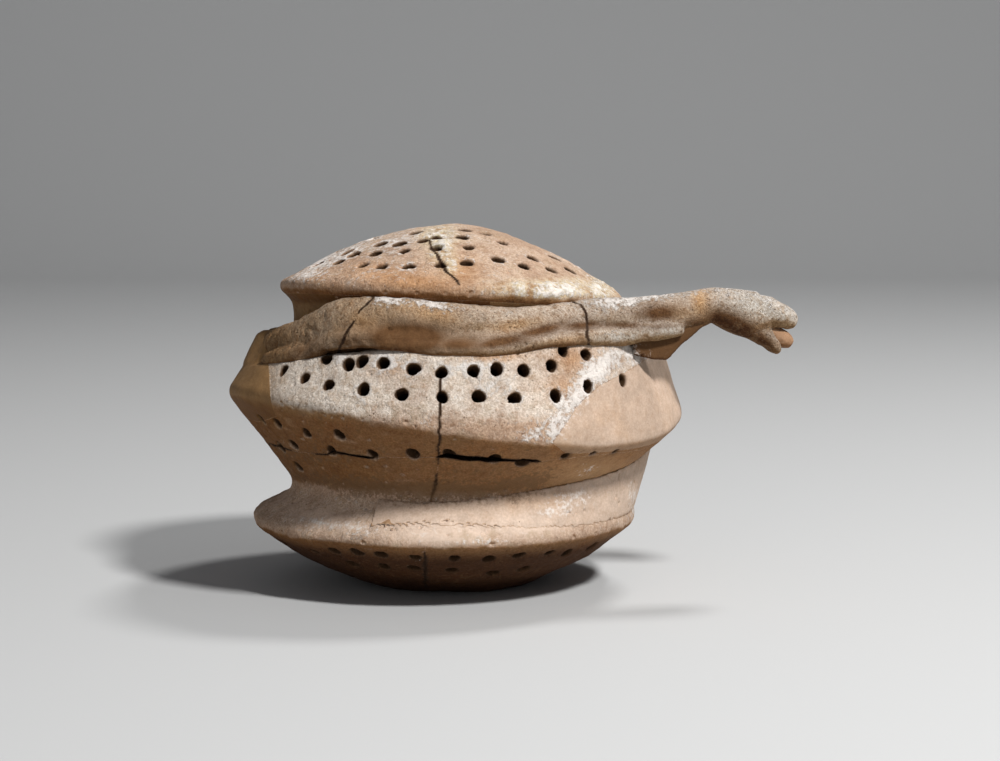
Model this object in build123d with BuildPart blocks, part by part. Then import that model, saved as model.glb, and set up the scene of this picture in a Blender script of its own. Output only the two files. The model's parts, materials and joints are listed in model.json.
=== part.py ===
"""Perforated ceramic cult vessel with a clay snake round its waist.

The fired vessel stands on a small flat disc. It rises in three keeled tiers: a shallow bowl with a
thin flange, a wide biconical body, and a domed top whose rim is undercut by a narrow collar. It was
built by hand, so its rings lean and its keel waves. Rows of poked holes go through every tier.
A hand-rolled snake lies on the sloping ledge between body and dome, and its neck and open-mouthed
head stand free at the right. Breaks and smooth plaster repairs part the pot into sherds and fills.

Millimetres, +Z up, +X towards the snake's head, -Y towards the viewer. The origin is the middle
of the flat disc that the vessel rests on. Azimuths are degrees from the front, positive to +X.
"""

import os
from dataclasses import dataclass
from math import cos, hypot, pi, radians, sin, tan

from build123d import *

# The walls
side_count = 30
wall = 5.0
dome_wall_share = 1.15
bowl_inset_share = 0.75
flange_inset_share = 1.6
rim_inset_share = 1.4

# The shallow bowl that the vessel rests on, and its flange
rest_radius = 27.0
flange_radius = 63.8
flange_height = 23.6
flange_edge = 2.6
flange_shift = -3.8
bowl_shift = -3.0
bowl_radius_shares = (0.59, 0.785)
bowl_height_shares = (0.19, 0.49)

# The groove above the flange
groove_radius = 53.0
groove_height = 33.5
groove_shift = 1.0
groove_set_back = -2.0
groove_front_lean = 2.7
groove_right_lean = 1.6

# The wide keel of the middle tier
keel_radius = 75.0
keel_height = 60.0
keel_edge = 3.0
keel_right_lean = -2.5
keel_twist = -4.1
keel_thickness = 7.5

# The sloping ledge that closes the middle tier and carries the snake
ledge_radius = 69.0
ledge_height = 78.8
ledge_shift = -1.0
ledge_set_back = 3.0
ledge_front_lean = 3.65
ledge_right_lean = 3.57
ledge_sway = 2.5
ledge_crown = 1.0

# The plaster that fills the groove in front and at the right
groove_fill_foot_share = 0.995
groove_fill_radius = 58.0
groove_fill_height = 47.0
groove_fill_shift = 8.5
groove_fill_set_back = 7.4
groove_fill_start = -25
groove_fill_end = 112

# The collar, the rim and the dome
collar_radius = 52.0
dome_shift = -1.0
rim_radius = 57.0
rim_height = 96.0
rim_edge = 3.0
rim_undercut = 5.5
dome_front_lean = 6.0
dome_right_lean = -2.8
dome_drift_share = 0.05
dome_rise = 22.8
dome_radius_shares = (0.85, 0.64, 0.4, 0.17, 0.06)
dome_rise_shares = (0.26, 0.56, 0.8, 0.95, 1.0)

# The poked holes
hole_radius = 2.2
hole_sides = 6
back_pitch = 14

# The snake
snake_half_width = 6.3
snake_half_height = 6.2
snake_seat_depth = 0.8
snake_sides = 12
neck_reach = 45.0
neck_bow = 16.0
head_length = 28.0
head_turn = 8.0
head_drop = 6.4
head_half_width = 7.2
head_half_height = 7.7
jaw_length = 10.6
jaw_drop = 8.0
jaw_half_width = 5.6
jaw_half_height = 3.0
jaw_start_share = 0.415
jaw_sink_share = 0.935
tongue_length = 8.9
tongue_drop = 3.0
tongue_half_width = 3.3
tongue_half_height = 2.2
tongue_start_share = 0.635
tongue_sink_share = 1.07
lip_half_width = 2.8
lip_half_height = 3.0
web_thickness = 8.0

# The bank of plaster that the left repair raises against the snake
bank_half_width = 4.2
bank_half_height = 5.0
bank_rise_share = 0.75
bank_inset_share = 0.8

# How far the side repairs reach behind the middle of the vessel, and how far cuts reach past it
side_fill_depth = 22.0
cut_reach_share = 1.6

vessel_height = rim_height + dome_rise
cut_reach = keel_radius * cut_reach_share


@dataclass
class Ring:
    """One ring of the wall, with its own lean and wave."""

    radius: float
    height: float
    shift: float = 0
    set_back: float = 0
    front_lean: float = 0
    right_lean: float = 0
    twist: float = 0
    sway: float = 0

    def point(self, azimuth):
        """The place on the ring at an azimuth."""
        turn = radians(azimuth)
        slope = tan(radians(self.front_lean)) * cos(turn) + tan(radians(self.right_lean)) * sin(turn)
        wave = self.twist * sin(2 * turn) + self.sway * cos(2 * turn)
        return Vector(
            self.shift + self.radius * sin(turn),
            self.set_back - self.radius * cos(turn),
            self.height + self.radius * slope + wave,
        )

    def corners(self):
        """The corners of the ring, evenly spaced."""
        return [self.point(360 * side / side_count) for side in range(side_count)]


def lofted(sections):
    """A closed solid through sections with equal corner counts, with flat facets between them."""
    facets = [Face(Wire.make_polygon(sections[0])), Face(Wire.make_polygon(sections[-1]))]
    for lower, upper in zip(sections, sections[1:]):
        for corner in range(len(lower)):
            following = (corner + 1) % len(lower)
            facets.append(Face(Wire.make_polygon([lower[corner], lower[following], upper[corner]])))
            facets.append(Face(Wire.make_polygon([lower[following], upper[following], upper[corner]])))
    return Solid(Shell(facets))


def dome_ring(radius, rise):
    """A ring of the dome or its collar, at a height above the rim along the leaning axis."""
    return Ring(
        radius,
        rim_height + rise,
        dome_shift + rise * (dome_drift_share - sin(radians(dome_right_lean))),
        rise * sin(radians(dome_front_lean)),
        dome_front_lean,
        dome_right_lean,
    )


def keel_ring(radius, height):
    """A ring that waves as the keel does."""
    return Ring(radius, height, right_lean=keel_right_lean, twist=keel_twist)


def ledge_ring(radius, height, shift, set_back):
    """A ring that slopes and waves as the snake's seat does."""
    return Ring(radius, height, shift, set_back, ledge_front_lean, ledge_right_lean, sway=ledge_sway)


def groove_ring(radius):
    """A ring in the bottom of the groove."""
    return Ring(
        radius, groove_height, groove_shift, groove_set_back, groove_front_lean, groove_right_lean
    )


# The outer rings, from the rest disc to the top of the dome
flange_foot = flange_height - flange_edge
rest = Ring(rest_radius, 0)
bowl_low = Ring(flange_radius * bowl_radius_shares[0], flange_foot * bowl_height_shares[0], bowl_shift)
bowl_high = Ring(flange_radius * bowl_radius_shares[1], flange_foot * bowl_height_shares[1], bowl_shift)
flange_low = Ring(flange_radius, flange_foot, flange_shift)
flange_top = Ring(flange_radius, flange_height, flange_shift)
groove = groove_ring(groove_radius)
keel_low = keel_ring(keel_radius, keel_height - keel_edge / 2)
keel_top = keel_ring(keel_radius, keel_height + keel_edge / 2)
ledge_edge = ledge_ring(ledge_radius, ledge_height, ledge_shift, ledge_set_back)
collar_foot = ledge_ring(collar_radius, ledge_height + ledge_crown, dome_shift, 0)
collar_top = dome_ring(collar_radius, -rim_undercut)
rim_low = dome_ring(rim_radius, -rim_edge / 2)
rim_top = dome_ring(rim_radius, rim_edge / 2)
dome_rings = [
    dome_ring(rim_radius * radius_share, dome_rise * rise_share)
    for radius_share, rise_share in zip(dome_radius_shares, dome_rise_shares)
]
outer_rings = [rest, bowl_low, bowl_high, flange_low, flange_top, groove, keel_low, keel_top]
outer_rings += [ledge_edge, collar_foot, collar_top, rim_low, rim_top] + dome_rings

# The inner rings follow the outer ones, one wall inside
inner_rings = [
    Ring(rest_radius - wall / 2, wall),
    Ring(bowl_low.radius - wall / 2, bowl_low.height + wall, bowl_shift),
    Ring(bowl_high.radius - wall * bowl_inset_share, bowl_high.height + wall, bowl_shift),
    Ring(flange_radius - wall * flange_inset_share, flange_height - wall / 5, flange_shift),
    groove_ring(groove_radius - wall),
    keel_ring(keel_radius - keel_thickness, keel_height),
    ledge_ring(ledge_radius - wall, ledge_height - wall, ledge_shift, ledge_set_back),
    ledge_ring(collar_radius - wall, ledge_height + ledge_crown - wall, dome_shift, 0),
    dome_ring(rim_radius - wall * rim_inset_share, -rim_undercut / 2),
]
dome_thickness = wall * dome_wall_share
inner_rings += [
    dome_ring(rim_radius * radius_share, dome_rise * rise_share - dome_thickness)
    for radius_share, rise_share in zip(dome_radius_shares[:-1], dome_rise_shares[:-1])
]

vessel_form = lofted([ring.corners() for ring in outer_rings])
vessel_hollow = lofted([ring.corners() for ring in inner_rings])

with BuildPart() as vessel:
    add(vessel_form)
    add(vessel_hollow, mode=Mode.SUBTRACT)


def place(share_points):
    """Points of a front view, from shares of the keel's radius and the vessel's height."""
    return [(across * keel_radius, up * vessel_height) for across, up in share_points]


def keep(share_points, mode=Mode.INTERSECT, behind=cut_reach):
    """Keep or remove what a front view outline covers, from the front to a depth behind the middle."""
    with BuildSketch(Plane.XZ.offset(-behind)) as zone:
        with BuildLine():
            Polyline(*place(share_points), close=True)
        make_face()
    extrude(zone.sketch, amount=behind + cut_reach, mode=mode)


# The breaks of the pot, as shares of the keel's radius and the vessel's height
upright_break_shares = (
    (-0.11, 1.2), (-0.11, 0.945), (-0.03, 0.88), (0.01, 0.82), (-0.04, 0.66), (-0.05, 0.5),
    (-0.08, 0.33), (-0.12, 0.15), (-0.12, -0.2),
)
level_break_shares = (
    (-2.0, 0.39), (-1.0, 0.39), (-0.55, 0.405), (-0.3, 0.42), (-0.05, 0.43), (0.02, 0.42),
    (0.2, 0.41), (0.38, 0.407), (0.6, 0.42), (1.0, 0.4), (2.0, 0.4),
)
left_of_break = upright_break_shares + ((-2.0, -0.2), (-2.0, 1.2))
above_level_break = level_break_shares + ((2.0, 1.2), (-2.0, 1.2))
left_fill_shares = (
    (-1.3, 0.75), (-0.88, 0.7), (-0.785, 0.62), (-0.765, 0.54), (-0.75, 0.51), (-0.85, 0.475),
    (-1.3, 0.47),
)
right_fill_shares = (
    (0.88, 0.85), (0.84, 0.65), (0.62, 0.6), (0.53, 0.56), (0.47, 0.51), (0.42, 0.465),
    (0.48, 0.43), (0.8, 0.42), (1.3, 0.42), (1.3, 0.85),
)
collar_left_shares = ((-2.0, 0.4), (-0.5, 0.4), (-0.5, 0.83), (-0.62, 0.88), (-2.0, 0.88))
collar_right_shares = ((0.15, 0.4), (0.16, 0.9), (2.0, 0.9), (2.0, 0.4))

# The planes between dome, collar and body
rim_plane = Plane(
    origin=(dome_shift, 0, rim_height - rim_edge), x_dir=(1, 0, tan(radians(dome_right_lean))),
    z_dir=(-tan(radians(dome_right_lean)), tan(radians(dome_front_lean)), 1),
)
ledge_plane = Plane(
    origin=(ledge_shift, ledge_set_back, ledge_height + ledge_crown * 2 + ledge_sway),
    x_dir=(1, 0, tan(radians(ledge_right_lean))),
    z_dir=(-tan(radians(ledge_right_lean)), tan(radians(ledge_front_lean)), 1),
)


def hole_plane(lower, upper, azimuth, share):
    """A plane on the wall between two rings, square to the wall."""
    foot = lower.point(azimuth)
    along = upper.point(azimuth) - foot
    around = lower.point(azimuth + 1) - lower.point(azimuth - 1)
    return Plane(origin=foot + along * share, x_dir=around, z_dir=around.cross(along))


def hole_planes(lower, upper, front_holes, back_azimuths, back_share):
    """The planes of one row of holes: those seen in front, and an even row behind."""
    marks = list(front_holes) + [(azimuth, back_share) for azimuth in back_azimuths]
    return [hole_plane(lower, upper, azimuth, share) for azimuth, share in marks]


def pierce(planes, part):
    """Poke the holes that lie on this piece."""
    box = part.bounding_box()
    margin = hole_radius * 2
    near = [
        plane for plane in planes
        if box.min.X - margin < plane.origin.X < box.max.X + margin
        and box.min.Y - margin < plane.origin.Y < box.max.Y + margin
        and box.min.Z - margin < plane.origin.Z < box.max.Z + margin
    ]
    with BuildSketch(*near) as marks:
        RegularPolygon(hole_radius, hole_sides)
    extrude(marks.sketch, amount=wall * 2, both=True, mode=Mode.SUBTRACT)


# The rows of holes: azimuth in degrees, and share of the way up the band
shoulder_upper_holes = (
    (-49, 0.71), (-34, 0.94), (-27, 0.79), (-23, 0.84), (-17, 0.79), (-9, 0.7), (-2, 0.65), (6, 0.68),
    (12, 0.7), (19, 0.69), (27, 0.74), (31, 0.9), (38, 0.85),
)
shoulder_lower_holes = (
    (-40, 0.51), (-32, 0.38), (-22, 0.36), (-12, 0.33), (-2, 0.34), (7, 0.38), (16, 0.39), (27, 0.43),
    (37, 0.53), (50, 0.58),
)
underside_holes = (
    (-62, 0.21), (-54, 0.23), (-43, 0.29), (-31, 0.25), (-63, 0.52), (-53, 0.46), (-60, 0.72), (-37, 0.46),
    (-23, 0.43), (-11, 0.36), (-1, 0.3), (11, 0.3), (19, 0.34), (24, 0.26), (30, 0.19), (38, 0.13),
    (46, 0.13),
)
bowl_upper_holes = (
    (-46, 0.51), (-36, 0.63), (-27, 0.68), (-19, 0.66), (-8, 0.63), (4, 0.61), (15, 0.53), (25, 0.61),
    (36, 0.59), (45, 0.46),
)
bowl_middle_holes = ((-34, 0.17), (-21, 0.19), (-10, 0.2), (3, 0.14))
bowl_lower_holes = ((19, 0.85), (31, 0.97))
dome_lower_holes = (
    (-37, 0.1), (-28, 0.07), (-17, 0.13), (-5, 0.28), (6, 0.49), (21, 0.72), (32, 0.46), (46, 0.36),
    (62, 0.44), (78, 0.1), (-55, 0.26), (-54, 0.68), (-40, 0.75), (-25, 0.89), (42, 0.88),
)
dome_middle_holes = (
    (-9, 0.14), (8, 0.29), (34, 0.68), (66, 0.05), (-50, 0.34), (-35, 0.37), (-21, 0.61), (-16, 0.82),
    (5, 0.91),
)
dome_upper_holes = ((-41, 0.19), (10, 0.62), (31, 0.32))

body_rows = hole_planes(keel_top, ledge_edge, shoulder_upper_holes, range(62, 300, back_pitch), 0.7)
body_rows += hole_planes(keel_top, ledge_edge, shoulder_lower_holes, range(68, 305, back_pitch), 0.35)
underside_rows = hole_planes(keel_low, groove, underside_holes, range(84, 280, back_pitch), 0.45)
bowl_rows = hole_planes(bowl_high, flange_low, bowl_upper_holes, range(58, 300, back_pitch), 0.5)
bowl_rows += hole_planes(bowl_high, flange_low, bowl_middle_holes, range(64, 310, back_pitch * 2), 0.1)
bowl_rows += hole_planes(bowl_low, bowl_high, bowl_lower_holes, [], 0)
dome_rows = hole_planes(dome_rings[0], dome_rings[1], dome_lower_holes, range(92, 300, back_pitch), 0.15)
dome_rows += hole_planes(dome_rings[0], dome_rings[1], [], range(86, 300, back_pitch), 0.8)
dome_rows += hole_planes(
    dome_rings[1], dome_rings[2], dome_middle_holes, range(92, 300, back_pitch * 2), 0.6
)
dome_rows += hole_planes(dome_rings[2], dome_rings[3], dome_upper_holes, range(80, 300, back_pitch * 4), 0.4)


# The dome, in two sherds
with BuildPart() as dome:
    add(vessel.part)
    split(bisect_by=ledge_plane, keep=Keep.TOP)
    split(bisect_by=rim_plane, keep=Keep.TOP)

with BuildPart() as dome_left_sherd:
    add(dome.part)
    keep(left_of_break)
    pierce(dome_rows, dome_left_sherd.part)

with BuildPart() as dome_right_sherd:
    add(dome.part)
    keep(left_of_break, Mode.SUBTRACT)
    pierce(dome_rows, dome_right_sherd.part)

# The collar under the rim: two sherds between two plaster repairs
with BuildPart() as collar:
    add(vessel.part)
    split(bisect_by=rim_plane, keep=Keep.BOTTOM)
    split(bisect_by=ledge_plane, keep=Keep.TOP)

with BuildPart() as collar_left_fill:
    add(collar.part)
    keep(collar_left_shares)

with BuildPart() as collar_right_fill:
    add(collar.part)
    keep(collar_right_shares, behind=0)

with BuildPart() as collar_rest:
    add(collar.part)
    keep(collar_left_shares, Mode.SUBTRACT)
    keep(collar_right_shares, Mode.SUBTRACT, behind=0)

with BuildPart() as collar_front_sherd:
    add(collar_rest.part)
    split(bisect_by=Plane.XZ, keep=Keep.TOP)

with BuildPart() as collar_back_sherd:
    add(collar_rest.part)
    split(bisect_by=Plane.XZ, keep=Keep.BOTTOM)

# The wide middle tier: two sherds and the repairs of both sides
with BuildPart() as middle:
    add(vessel.part)
    split(bisect_by=ledge_plane, keep=Keep.BOTTOM)
    keep(above_level_break)

with BuildPart() as left_side_fill:
    add(middle.part)
    keep(left_fill_shares, behind=side_fill_depth)

with BuildPart() as right_side_fill:
    add(middle.part)
    keep(right_fill_shares, behind=side_fill_depth)

with BuildPart() as body_left_sherd:
    add(middle.part)
    keep(left_of_break)
    keep(left_fill_shares, Mode.SUBTRACT, side_fill_depth)
    pierce(body_rows + underside_rows, body_left_sherd.part)

with BuildPart() as body_right_sherd:
    add(middle.part)
    keep(left_of_break, Mode.SUBTRACT)
    keep(right_fill_shares, Mode.SUBTRACT, side_fill_depth)
    pierce(body_rows + underside_rows, body_right_sherd.part)

# The groove, the flange and the bowl, in two sherds
with BuildPart() as foot:
    add(vessel.part)
    keep(above_level_break, Mode.SUBTRACT)

with BuildPart() as foot_left_sherd:
    add(foot.part)
    keep(left_of_break)
    pierce(bowl_rows + underside_rows, foot_left_sherd.part)

with BuildPart() as foot_right_sherd:
    add(foot.part)
    keep(left_of_break, Mode.SUBTRACT)
    pierce(bowl_rows + underside_rows, foot_right_sherd.part)

# The plaster in the groove, a wedge of a ring that swells towards the right
groove_fill_foot = Ring(flange_radius * groove_fill_foot_share, flange_height, flange_shift)
groove_fill_top = Ring(groove_fill_radius, groove_fill_height, groove_fill_shift, groove_fill_set_back)

with BuildPart() as groove_fill:
    add(lofted([groove_fill_foot.corners(), groove_fill_top.corners()]))
    with BuildSketch() as wedge:
        with BuildLine():
            far = Ring(keel_radius * 2, 0)
            Polyline(
                (0, 0), far.point(groove_fill_start), far.point(groove_fill_start + 45),
                far.point(groove_fill_end - 45), far.point(groove_fill_end), close=True,
            )
        make_face()
    extrude(wedge.sketch, amount=vessel_height, mode=Mode.INTERSECT)
    add(vessel_form, mode=Mode.SUBTRACT)


def oval(center, direction, half_width, half_height):
    """The corners of an upright oval section across a direction."""
    side = direction.cross(Vector(0, 0, 1)).normalized()
    up = side.cross(direction).normalized()
    turns = [2 * pi * corner / snake_sides for corner in range(snake_sides)]
    return [center + side * half_width * cos(turn) + up * half_height * sin(turn) for turn in turns]


def rolled(stations):
    """A hand-rolled length of clay through stations of centre, half width and half height."""
    centers = [station[0] for station in stations]
    sections = []
    for index, (center, half_width, half_height) in enumerate(stations):
        before = centers[max(index - 1, 0)]
        after = centers[min(index + 1, len(centers) - 1)]
        sections.append(oval(center, (after - before).normalized(), half_width, half_height))
    return sections


def seated(azimuth, broad, tall):
    """A station of the snake where it lies on the ledge, against the collar."""
    half_width = snake_half_width * broad
    half_height = snake_half_height * tall
    reach = collar_radius + half_width - snake_seat_depth
    seat = ledge_ring(reach, ledge_height + ledge_crown / 2, dome_shift, 0).point(azimuth)
    return (seat + Vector(0, 0, half_height - snake_seat_depth), half_width, half_height)


def beside_neck(along, outward, lift):
    """A place beside the free neck, from shares of its reach and bow."""
    return neck_start + Vector(neck_reach * along, neck_bow * outward, neck_reach * lift)


# The snake: azimuth in degrees, then half width and half height as shares
tail_girths = (
    (-205, 0.22, 0.22), (-200, 0.4, 0.4), (-190, 0.52, 0.52), (-178, 0.6, 0.6), (-166, 0.68, 0.68),
    (-154, 0.75, 0.75), (-142, 0.8, 0.8), (-130, 0.86, 0.86), (-118, 0.92, 0.92), (-106, 0.97, 0.95),
)
left_girths = (
    (-106, 0.97, 0.95), (-90, 1.0, 0.96), (-74, 1.0, 0.98), (-60, 1.02, 1.06), (-50, 1.04, 1.17),
    (-42, 1.05, 1.31), (-34, 1.05, 1.42),
)
front_girths = (
    (-34, 1.05, 1.42), (-24, 1.05, 1.37), (-14, 1.03, 1.27), (-4, 1.0, 1.15), (6, 0.97, 1.02),
    (16, 0.94, 0.94), (30, 0.92, 0.95), (44, 0.92, 1.05),
)
# The free neck: shares of its reach, its bow, its reach again, the half width and the half height
neck_shares = (
    (0.21, 0.25, 0.01, 0.95, 1.02), (0.48, 0.5, 0.016, 1.0, 1.02), (0.67, 0.68, 0.04, 1.02, 1.02),
    (0.85, 0.87, 0.064, 1.02, 1.03), (1.0, 1.0, 0.098, 0.97, 0.9),
)

neck_start = seated(*front_girths[-1])[0]
neck_stations = [seated(*front_girths[-1])]
for along, outward, lift, broad, tall in neck_shares:
    center = beside_neck(along, outward, lift)
    neck_stations.append((center, snake_half_width * broad, snake_half_height * tall))
tail_stations = [seated(*station) for station in tail_girths]
left_stations = [seated(*station) for station in left_girths]
front_stations = [seated(*station) for station in front_girths]

whole_snake = rolled(tail_stations + left_stations[1:] + front_stations[1:] + neck_stations[1:])
left_start = len(tail_stations) - 1
front_start = left_start + len(left_stations) - 1
neck_from = front_start + len(front_stations) - 1

with BuildPart() as snake_tail:
    add(lofted(whole_snake[:left_start + 1]))
    add(vessel_form, mode=Mode.SUBTRACT)

with BuildPart() as snake_left_segment:
    add(lofted(whole_snake[left_start:front_start + 1]))
    add(vessel_form, mode=Mode.SUBTRACT)

with BuildPart() as snake_front_segment:
    add(lofted(whole_snake[front_start:neck_from + 1]))
    add(vessel_form, mode=Mode.SUBTRACT)

with BuildPart() as snake_neck:
    add(lofted(whole_snake[neck_from:]))
    add(vessel_form, mode=Mode.SUBTRACT)

# The head: shares of its length, its drop, its half width and its half height
head_shares = (
    (0.1, 0.09, 0.92, 0.82), (0.28, 0.34, 0.98, 0.935), (0.46, 0.52, 1.0, 1.0), (0.58, 0.52, 0.97, 0.93),
    (0.665, 0.44, 0.92, 0.68), (0.83, 0.64, 0.76, 0.47), (0.94, 0.86, 0.52, 0.3), (1.0, 1.0, 0.26, 0.14),
)
jaw_shares = (
    (0.0, 0.0, 0.8, 0.85), (0.33, 0.42, 1.0, 1.0), (0.56, 0.68, 1.0, 1.0), (0.82, 0.9, 0.8, 0.85),
    (1.0, 1.0, 0.42, 0.45),
)
tongue_shares = (
    (0.0, 0.0, 0.95, 0.6), (0.4, 0.38, 1.0, 0.95), (0.82, 0.84, 0.95, 1.0), (1.0, 1.0, 0.7, 0.7),
)
ahead = Vector(cos(radians(head_turn)), sin(radians(head_turn)), 0)
down = Vector(0, 0, -1)


def modelled(start, length, drop, half_width, half_height, shares):
    """The stations of a part of the head, from its start outwards."""
    return [
        (start + ahead * length * along + down * drop * sink, half_width * broad, half_height * tall)
        for along, sink, broad, tall in shares
    ]


neck_end = neck_stations[-1][0]
jaw_start = neck_end + ahead * head_length * jaw_start_share + down * head_half_height * jaw_sink_share
tongue_sink = head_half_height * tongue_sink_share
tongue_start = neck_end + ahead * head_length * tongue_start_share + down * tongue_sink
head_stations = modelled(neck_end, head_length, head_drop, head_half_width, head_half_height, head_shares)
jaw_stations = modelled(jaw_start, jaw_length, jaw_drop, jaw_half_width, jaw_half_height, jaw_shares)
tongue_stations = modelled(
    tongue_start, tongue_length, tongue_drop, tongue_half_width, tongue_half_height, tongue_shares
)

with BuildPart() as snake_head:
    add(lofted([whole_snake[-1]] + rolled(head_stations)))

with BuildPart() as snake_lower_jaw:
    add(lofted(rolled(jaw_stations)))
    add(snake_head.part, mode=Mode.SUBTRACT)
    add(snake_neck.part, mode=Mode.SUBTRACT)

with BuildPart() as snake_tongue:
    add(lofted(rolled(tongue_stations)))
    add(snake_head.part, mode=Mode.SUBTRACT)
    add(snake_lower_jaw.part, mode=Mode.SUBTRACT)

# The clay lip that beds the snake on the edge of the ledge and runs on below its free neck:
# azimuth or place beside the neck, rise in lip heights, and girth as a share
lip_girths = (
    (-34, 0.8, 0.4), (-22, 0.8, 0.6), (-10, 0.1, 0.7), (2, -0.55, 0.85), (14, -0.7, 0.9),
    (26, 0.0, 0.8), (38, 0.35, 0.9), (50, 0.4, 1.05),
)
lip_neck_shares = ((0.48, 0.15, -0.073, 1.1), (0.62, 0.28, -0.064, 1.1), (0.78, 0.45, -0.064, 0.65))
lip_stations = []
for azimuth, rise, girth in lip_girths:
    edge = ledge_edge.point(azimuth) - down * lip_half_height * rise
    lip_stations.append((edge, lip_half_width * girth, lip_half_height * girth))
for along, outward, lift, girth in lip_neck_shares:
    center = beside_neck(along, outward, lift)
    lip_stations.append((center, lip_half_width * girth, lip_half_height * girth))

with BuildPart() as waist_lip:
    add(lofted(rolled(lip_stations)))
    add(vessel_form, mode=Mode.SUBTRACT)
    add(snake_front_segment.part, mode=Mode.SUBTRACT)
    add(snake_left_segment.part, mode=Mode.SUBTRACT)
    add(snake_neck.part, mode=Mode.SUBTRACT)

# The left repair also rises over the edge of the ledge to the snake: azimuth, and girth as a share
bank_girths = ((-104, 0.4), (-96, 0.9), (-84, 1.0), (-74, 0.9), (-66, 0.4))
bank_stations = []
for azimuth, girth in bank_girths:
    edge = ledge_edge.point(azimuth) - down * bank_half_height * bank_rise_share
    inward = Vector(-edge.X, -edge.Y, 0).normalized() * bank_half_width * bank_inset_share
    bank_stations.append((edge + inward, bank_half_width * girth, bank_half_height * girth))

with BuildPart() as left_bank:
    add(lofted(rolled(bank_stations)))
    add(vessel_form, mode=Mode.SUBTRACT)
    add(snake_left_segment.part, mode=Mode.SUBTRACT)
    add(snake_tail.part, mode=Mode.SUBTRACT)

with BuildPart() as left_side_repair:
    add(left_side_fill.part)
    add(left_bank.part)

# The plaster web that props the neck on the shoulder
web_shares = (
    (0.41, -0.03), (0.41, -0.226), (0.57, -0.26), (0.665, -0.268), (0.77, -0.176), (0.915, -0.059),
    (1.01, -0.002), (1.01, 0.06),
)
neck_length = hypot(neck_reach, neck_bow)
web_outline = [(neck_length * along, neck_length * lift) for along, lift in web_shares]
below_neck = Plane(origin=neck_start, x_dir=(neck_reach, neck_bow, 0), z_dir=(neck_bow, -neck_reach, 0))
with BuildPart() as neck_web:
    with BuildSketch(below_neck) as web:
        with BuildLine():
            Polyline(*web_outline, close=True)
        make_face()
    extrude(web.sketch, amount=web_thickness / 2, both=True)
    add(vessel_form, mode=Mode.SUBTRACT)
    add(snake_neck.part, mode=Mode.SUBTRACT)
    add(snake_head.part, mode=Mode.SUBTRACT)
    add(waist_lip.part, mode=Mode.SUBTRACT)

pieces = {
    "dome_left_sherd": dome_left_sherd,
    "dome_right_sherd": dome_right_sherd,
    "collar_left_fill": collar_left_fill,
    "collar_right_fill": collar_right_fill,
    "collar_front_sherd": collar_front_sherd,
    "collar_back_sherd": collar_back_sherd,
    "body_left_sherd": body_left_sherd,
    "body_right_sherd": body_right_sherd,
    "left_side_fill": left_side_repair,
    "right_side_fill": right_side_fill,
    "groove_fill": groove_fill,
    "foot_left_sherd": foot_left_sherd,
    "foot_right_sherd": foot_right_sherd,
    "snake_tail": snake_tail,
    "snake_left_segment": snake_left_segment,
    "snake_front_segment": snake_front_segment,
    "snake_neck": snake_neck,
    "snake_head": snake_head,
    "snake_lower_jaw": snake_lower_jaw,
    "snake_tongue": snake_tongue,
    "waist_lip": waist_lip,
    "neck_web": neck_web,
}

os.makedirs("parts", exist_ok=True)
for name, piece in pieces.items():
    piece.part.label = name
    export_step(piece.part, f"parts/{name}.step")
    print(name, len(piece.part.solids()), round(piece.part.volume))
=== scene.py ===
"""The looks of the perforated cult vessel: hand-built tiers, its breaks and repairs, and the snake."""

import json
from math import cos, pi, radians, sin, tan

import bmesh
import bpy
import numpy as np
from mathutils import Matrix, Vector

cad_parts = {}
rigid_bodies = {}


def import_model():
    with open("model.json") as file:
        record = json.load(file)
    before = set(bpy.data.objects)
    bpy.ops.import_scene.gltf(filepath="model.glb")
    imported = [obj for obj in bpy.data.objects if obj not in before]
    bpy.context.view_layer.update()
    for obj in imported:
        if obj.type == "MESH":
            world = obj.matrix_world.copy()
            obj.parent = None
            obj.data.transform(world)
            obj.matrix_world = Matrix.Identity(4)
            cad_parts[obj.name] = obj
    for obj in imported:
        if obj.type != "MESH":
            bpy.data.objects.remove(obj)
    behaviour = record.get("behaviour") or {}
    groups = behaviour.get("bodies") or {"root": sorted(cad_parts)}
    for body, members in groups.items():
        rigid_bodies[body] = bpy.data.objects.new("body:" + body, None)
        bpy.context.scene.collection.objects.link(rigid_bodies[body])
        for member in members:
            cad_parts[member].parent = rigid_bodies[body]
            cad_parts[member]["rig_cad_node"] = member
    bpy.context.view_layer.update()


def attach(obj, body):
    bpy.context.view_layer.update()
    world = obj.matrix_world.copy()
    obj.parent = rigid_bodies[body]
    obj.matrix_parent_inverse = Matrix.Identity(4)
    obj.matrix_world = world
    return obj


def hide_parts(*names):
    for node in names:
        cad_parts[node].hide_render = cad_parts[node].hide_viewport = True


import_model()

MM = 0.001
VOXEL = 0.5 * MM
RELAX_ROUNDS = 20

# Corners of the vessel, of a roll of clay and of a peg; stations between two given ones
SIDES, ROLL_SIDES, PEG_SIDES, STATION_PARTS = 240, 28, 14, 6

# Limits beyond the object, in millimetres
LEFT_END, RIGHT_END, LOW_END, HIGH_END = -150, 150, -24, 142
FRONT_END, BACK_END = -112, 112

# Leans in degrees, towards the front and towards the right, and the height of the dome's rim
LEDGE_LEAN = (3.65, 3.57)
DOME_LEAN = (6.0, -2.8)
DOME_HEIGHT = 96.0


# Rings of the vessel, in millimetres and degrees, each with two waves
def ring(radius, height, shift=0.0, set_back=0.0, front_lean=0.0, right_lean=0.0, wave=0.0, sway=0.0):
    leans = [tan(radians(front_lean)), tan(radians(right_lean))]
    return np.array([radius, height, shift, set_back] + leans + [wave, sway])


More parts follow.
